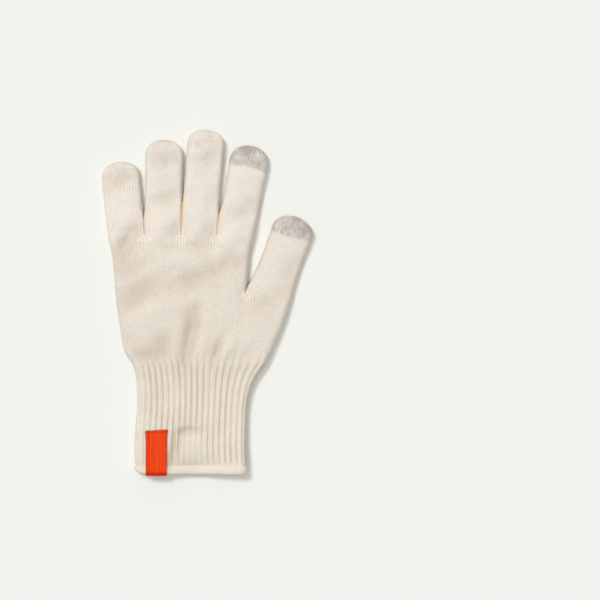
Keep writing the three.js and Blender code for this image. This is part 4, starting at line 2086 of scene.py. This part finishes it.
@dataclass
class ForkDarns:
    """The short threads that close the knitting at each fork."""

    origin: Vector
    hand: Hand
    finish: KnitFinish
    # Each thread's middle across, half its length and how far it lies above the fork.
    threads: tuple[tuple[float, float, float], ...] = (
        (0.1, 2.0, -0.3),
        (0.5, 3.0, -1.1),
        (-0.5, 2.6, -1.9),
    )
    radius: float = 0.45
    bend: float = 0.6
    middle_rise: float = 0.35
    end_sink: float = 0.9
    end_power: int = 4
    steps: int = 14
    sides: int = 8
    above: float = 40.0

    def path(self, fork: Vector, thread: tuple[float, float, float], skin: BVHTree) -> list[Vector]:
        """The line of one thread over the cloth below a fork.

        Args:
            fork: the fork.
            thread: the thread's middle across, half its length, and how far it lies above the fork.
            skin: the hand's surface.

        Returns:
            Its places, in millimetres.
        """
        middle, half, up = thread
        found = []
        for share in spread(-1.0, 1.0, self.steps):
            x = fork.x + middle + share * half
            y = fork.y + up + self.bend * share * share
            start = self.origin + Vector((x, y, self.above)) * MM
            hit = skin.ray_cast(start, Vector((0.0, 0.0, -1.0)))[0]
            rise = self.radius * (self.middle_rise - self.end_sink * share**self.end_power)
            found.append(Vector((x, y, hit.z / MM + rise)))
        return found

    def build(self) -> bpy.types.Object:
        """Lays the threads over the forks.

        Returns:
            The threads, as one mesh.
        """
        shaped = bpy.data.objects["knit_hand"].evaluated_get(bpy.context.evaluated_depsgraph_get())
        skin = BVHTree.FromObject(shaped, bpy.context.evaluated_depsgraph_get())
        knitting = Knitting(self.origin)
        for fork in self.hand.forks():
            for thread in self.threads:
                self.lay(knitting, self.path(fork, thread, skin))
        piece = knitting.finish("fork_darns")
        piece.data.materials.append(self.finish.dress())
        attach(piece, "root")
        return piece

    def lay(self, knitting: Knitting, line: list[Vector]) -> None:
        """Spins one thread along a line, with both ends drawn to a point.

        Args:
            knitting: takes the thread.
            line: the places along its middle.
        """
        marks = spread(0.0, math.tau * self.radius, self.sides)
        for step, place in enumerate(line):
            from_middle = 2 * step / (len(line) - 1) - 1
            radius = self.radius * math.sqrt(max(1 - from_middle**self.end_power, 0.0))
            loops = []
            for turn in spread(0.0, math.tau, self.sides)[:-1]:
                out = Vector((0.0, math.cos(turn), math.sin(turn))) * radius
                loops.append(Loop(place=place + out, level=step * self.radius))
            course = Course(loops=loops, wales=marks)
            if step == 0:
                knitting.cast_on(course)
            elif step < len(line) - 1:
                knitting.knit(course)
        knitting.gather(line[-1], len(line) * self.radius)


@dataclass
class LabelTab:
    """The woven tab, a ribbon that is folded over the hem. Its face is bare."""

    origin: Vector
    hem: Hem
    width: float = 15.1
    length: float = 31.6
    inner_length: float = 24.0
    thickness: float = 0.7
    from_edge: float = 7.5
    waist: float = 0.6
    waist_reach: float = 9.0
    waist_shift: float = 0.3
    tilt: float = 1.0
    tilt_reach: float = 8.0
    knob: float = 0.7
    knob_height: float = 29.9
    knob_reach: float = 0.9
    knob_power: int = 8
    top_rise: float = 1.0
    ripple: float = 0.3
    ripple_size: Range = (5.0, 9.0)
    ripple_layer: float = 3.0
    gap: float = 0.3
    across_steps: int = 20
    top_steps: int = 40
    turn_steps: int = 12
    inner_steps: int = 8
    thread: Colour = linear(249, 74, 12)
    # The darker colour also serves as painted shade where the ribbon turns down over the hem.
    edge: Colour = linear(192, 40, 6)

    def line(self) -> list[tuple[float, float]]:
        """The ribbon's path from its upper end over the hem to its end inside.

        Returns:
            The y and z of each place on it.
        """
        clear = self.gap + self.thickness / 2
        top = self.hem.loop().top
        middle = self.hem.depth / 2
        deep, high = middle + clear, self.hem.wall / 2 + clear
        start = (self.length - deep + middle, top + high)
        line = [(y, start[1]) for y in spread(start[0], middle, self.top_steps)[:-1]]
        for angle in spread(math.pi / 2, 1.5 * math.pi, self.turn_steps):
            line.append((middle + deep * math.cos(angle), top + high * math.sin(angle)))
        inside = spread(middle, self.inner_length, self.inner_steps)[1:]
        return line + [(y, top - high) for y in inside]

    def place(self, share: float, y: float, z: float) -> Vector:
        """Puts a place of the ribbon where its waist, its knob and its ripples have it.

        Args:
            share: how far across the ribbon it is, from its left edge.
            y: its height up the glove, along the ribbon's path.
            z: its height over the floor.

        Returns:
            The place, in millimetres.
        """
        top = self.hem.loop().top
        on_top = ramp(z, top, top + self.top_rise)
        left = self.hem.cuff.rows[0][1] * self.hem.cuff.width + self.from_edge
        narrowed = self.waist * (1 - ramp(y, self.length - self.waist_reach, self.length))
        x = left + narrowed * (0.5 + self.waist_shift) + share * (self.width - narrowed)
        knob = self.knob * bell((y - self.knob_height) / self.knob_reach)
        x += knob * share**self.knob_power * on_top
        tilted = (share - 0.5) * self.tilt * ramp(y, self.length - self.tilt_reach, self.length)
        y += tilted * on_top
        across, up = self.ripple_size
        ripple = self.ripple * noise.noise(Vector((x / across, y / up, self.ripple_layer)))
        return Vector((x, y, z + ripple + self.hem.cuff.lift(x, y)))

    def build(self) -> bpy.types.Object:
        """Weaves the ribbon, folds it over the hem and puts it in the frame.

        Returns:
            The ribbon.
        """
        line = self.line()
        steps = [math.dist(a, b) for a, b in zip(line, line[1:])]
        reached = [sum(steps[:i]) for i in range(len(line))]
        rows = len(line) - 1
        mesh = bmesh.new()
        made = bmesh.ops.create_grid(mesh, x_segments=self.across_steps, y_segments=rows, size=1.0)
        chart = mesh.loops.layers.uv.new(CHART)
        charted = {}
        for vert in made["verts"]:
            row = round((vert.co.y + 1) / 2 * rows)
            share = (vert.co.x + 1) / 2
            vert.co = self.origin + self.place(share, *line[row]) * MM
            charted[vert] = ((share - 0.5) * self.width, self.length - reached[row])
        for face in mesh.faces:
            for corner in face.loops:
                corner[chart].uv = charted[corner.vert]
        bmesh.ops.recalc_face_normals(mesh, faces=mesh.faces)
        piece = make_object("label_tab", mesh)
        add_wall(piece, self.thickness, offset=0.0)
        finish = LabelFinish("woven_label", self.thread, self.edge, self.width / 2, self.length)
        piece.data.materials.append(finish.dress())
        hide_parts("label")
        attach(piece, "root")
        flat = (self.width * MM, reached[-1] * MM)
        return piece


@dataclass
class Studio:
    """The pale floor, the light and the camera above the glove."""

    floor_size: float = 6.0
    view_x: float = 0.0652
    view_y: float = 0.0018
    view_width: float = 0.42
    camera_height: float = 1.6
    sensor: float = 36.0
    outline_height: float = 0.0055
    sun_strength: float = 1.5
    sun_spread: float = 15.0
    sun_elevation: float = 61.0
    sun_azimuth: float = 131.0
    sun_colour: Colour = (1.0, 0.99, 0.965)
    lamp_place: tuple[float, float, float] = (-0.5, 0.5, 1.0)
    sky_strength: float = 0.405
    overhead_strength: float = 0.68
    overhead_spread: float = 36.0
    sky_colour: Colour = (0.965, 0.985, 1.0)
    paper: Colour = linear(239, 240, 236)

    def lay_floor(self) -> None:
        """Lays the floor under the glove."""
        mesh = bmesh.new()
        bmesh.ops.create_grid(mesh, x_segments=1, y_segments=1, size=self.floor_size / 2)
        floor = make_object("floor", mesh)
        floor.data.materials.append(FloorFinish("pale_card", self.paper).dress())

    def hang_light(self, name: str, strength: float, spread_angle: float, turn: Euler) -> None:
        """Hangs one soft light.

        Args:
            name: the light's name.
            strength: its strength.
            spread_angle: how broad it looks from below, in degrees.
            turn: the way it faces.
        """
        light = bpy.data.lights.new(name, "SUN")
        light.energy = strength
        light.color = self.sun_colour
        light.angle = math.radians(spread_angle)
        lamp = bpy.data.objects.new(name, light)
        lamp.rotation_euler = turn
        lamp.location = self.lamp_place
        bpy.context.scene.collection.objects.link(lamp)

    def light_room(self) -> None:
        """Hangs a soft light at the upper left and a broad one overhead, in a pale room."""
        tilt = math.radians(90 - self.sun_elevation)
        key = Euler((0.0, tilt, math.radians(self.sun_azimuth)))
        self.hang_light("soft_key", self.sun_strength, self.sun_spread, key)
        self.hang_light("overhead_fill", self.overhead_strength, self.overhead_spread, Euler())
        world = bpy.data.worlds.new("pale_room")
        world.use_nodes = True
        sky = world.node_tree.nodes["Background"]
        sky.inputs["Color"].default_value = (*self.sky_colour, 1.0)
        sky.inputs["Strength"].default_value = self.sky_strength
        bpy.context.scene.world = world
        bpy.context.scene.view_settings.view_transform = "Standard"

    def place_camera(self) -> None:
        """Places the camera straight above, where it sees the whole width of the view."""
        lens = bpy.data.cameras.new("overhead")
        lens.sensor_width = self.sensor
        lens.lens = self.sensor * (self.camera_height - self.outline_height) / self.view_width
        camera = bpy.data.objects.new("overhead", lens)
        camera.location = (self.view_x, self.view_y, self.camera_height)
        bpy.context.scene.collection.objects.link(camera)
        bpy.context.scene.camera = camera

    def build(self) -> None:
        """Sets up the whole studio."""
        self.lay_floor()
        self.light_room()
        self.place_camera()


def glove_origin() -> Vector:
    """Reads the glove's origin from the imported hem.

    Returns:
        The middle of the hem's lower edge on the floor, in the frame.
    """
    low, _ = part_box("cuff_hem")
    left_edge = Hem.rise - Cuff.rows[0][1] * Cuff.width
    return Vector((low.x + left_edge * MM, low.y, 0.0))


def main() -> None:
    """Builds the studio and the glove, piece by piece."""
    logging.basicConfig(level=logging.INFO, format="%(name)s: %(message)s")
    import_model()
    Studio().build()
    origin = glove_origin()
    cream = KnitFinish(
        "cream_knit",
        yarn=linear(243, 234, 223),
        shade=linear(212, 199, 182),
        groove=linear(208, 196, 176),
    )
    rib = KnitFinish(
        "cream_rib",
        yarn=linear(240, 231, 218),
        shade=linear(211, 199, 181),
        groove=linear(202, 189, 168),
        crease=linear(205, 176, 140),
    )
    roll = KnitFinish(
        "cream_hem",
        yarn=linear(239, 230, 213),
        shade=linear(222, 211, 190),
        groove=linear(206, 195, 172),
    )
    grey = KnitFinish(
        "grey_touch_knit",
        yarn=linear(212, 204, 196),
        shade=linear(188, 178, 169),
        groove=linear(188, 178, 169),
        marl=Marl(
            light=linear(237, 232, 230), dark=linear(168, 157, 147), plain=linear(241, 232, 219)
        ),
    )
    relief = Relief(folds=FOLDS)
    cuff = Cuff(origin=origin, finish=rib, relief=relief)
    hem = Hem(origin=origin, finish=roll, cuff=cuff)
    hand = Hand(origin=origin, cuff=cuff, finish=cream, touch_finish=grey, relief=relief)
    darn = KnitFinish(
        "cream_thread",
        yarn=linear(252, 245, 234),
        shade=linear(226, 214, 196),
        groove=linear(226, 214, 196),
        wale=0.9,
    )
    darns = ForkDarns(origin=origin, hand=hand, finish=darn)
    label = LabelTab(origin=origin, hem=hem)
    for part in (hem, cuff, hand, darns, label):
        made = part.build()
        for piece in made if isinstance(made, list) else [made]:
            report(piece)


if __name__ == "__main__":
    main()
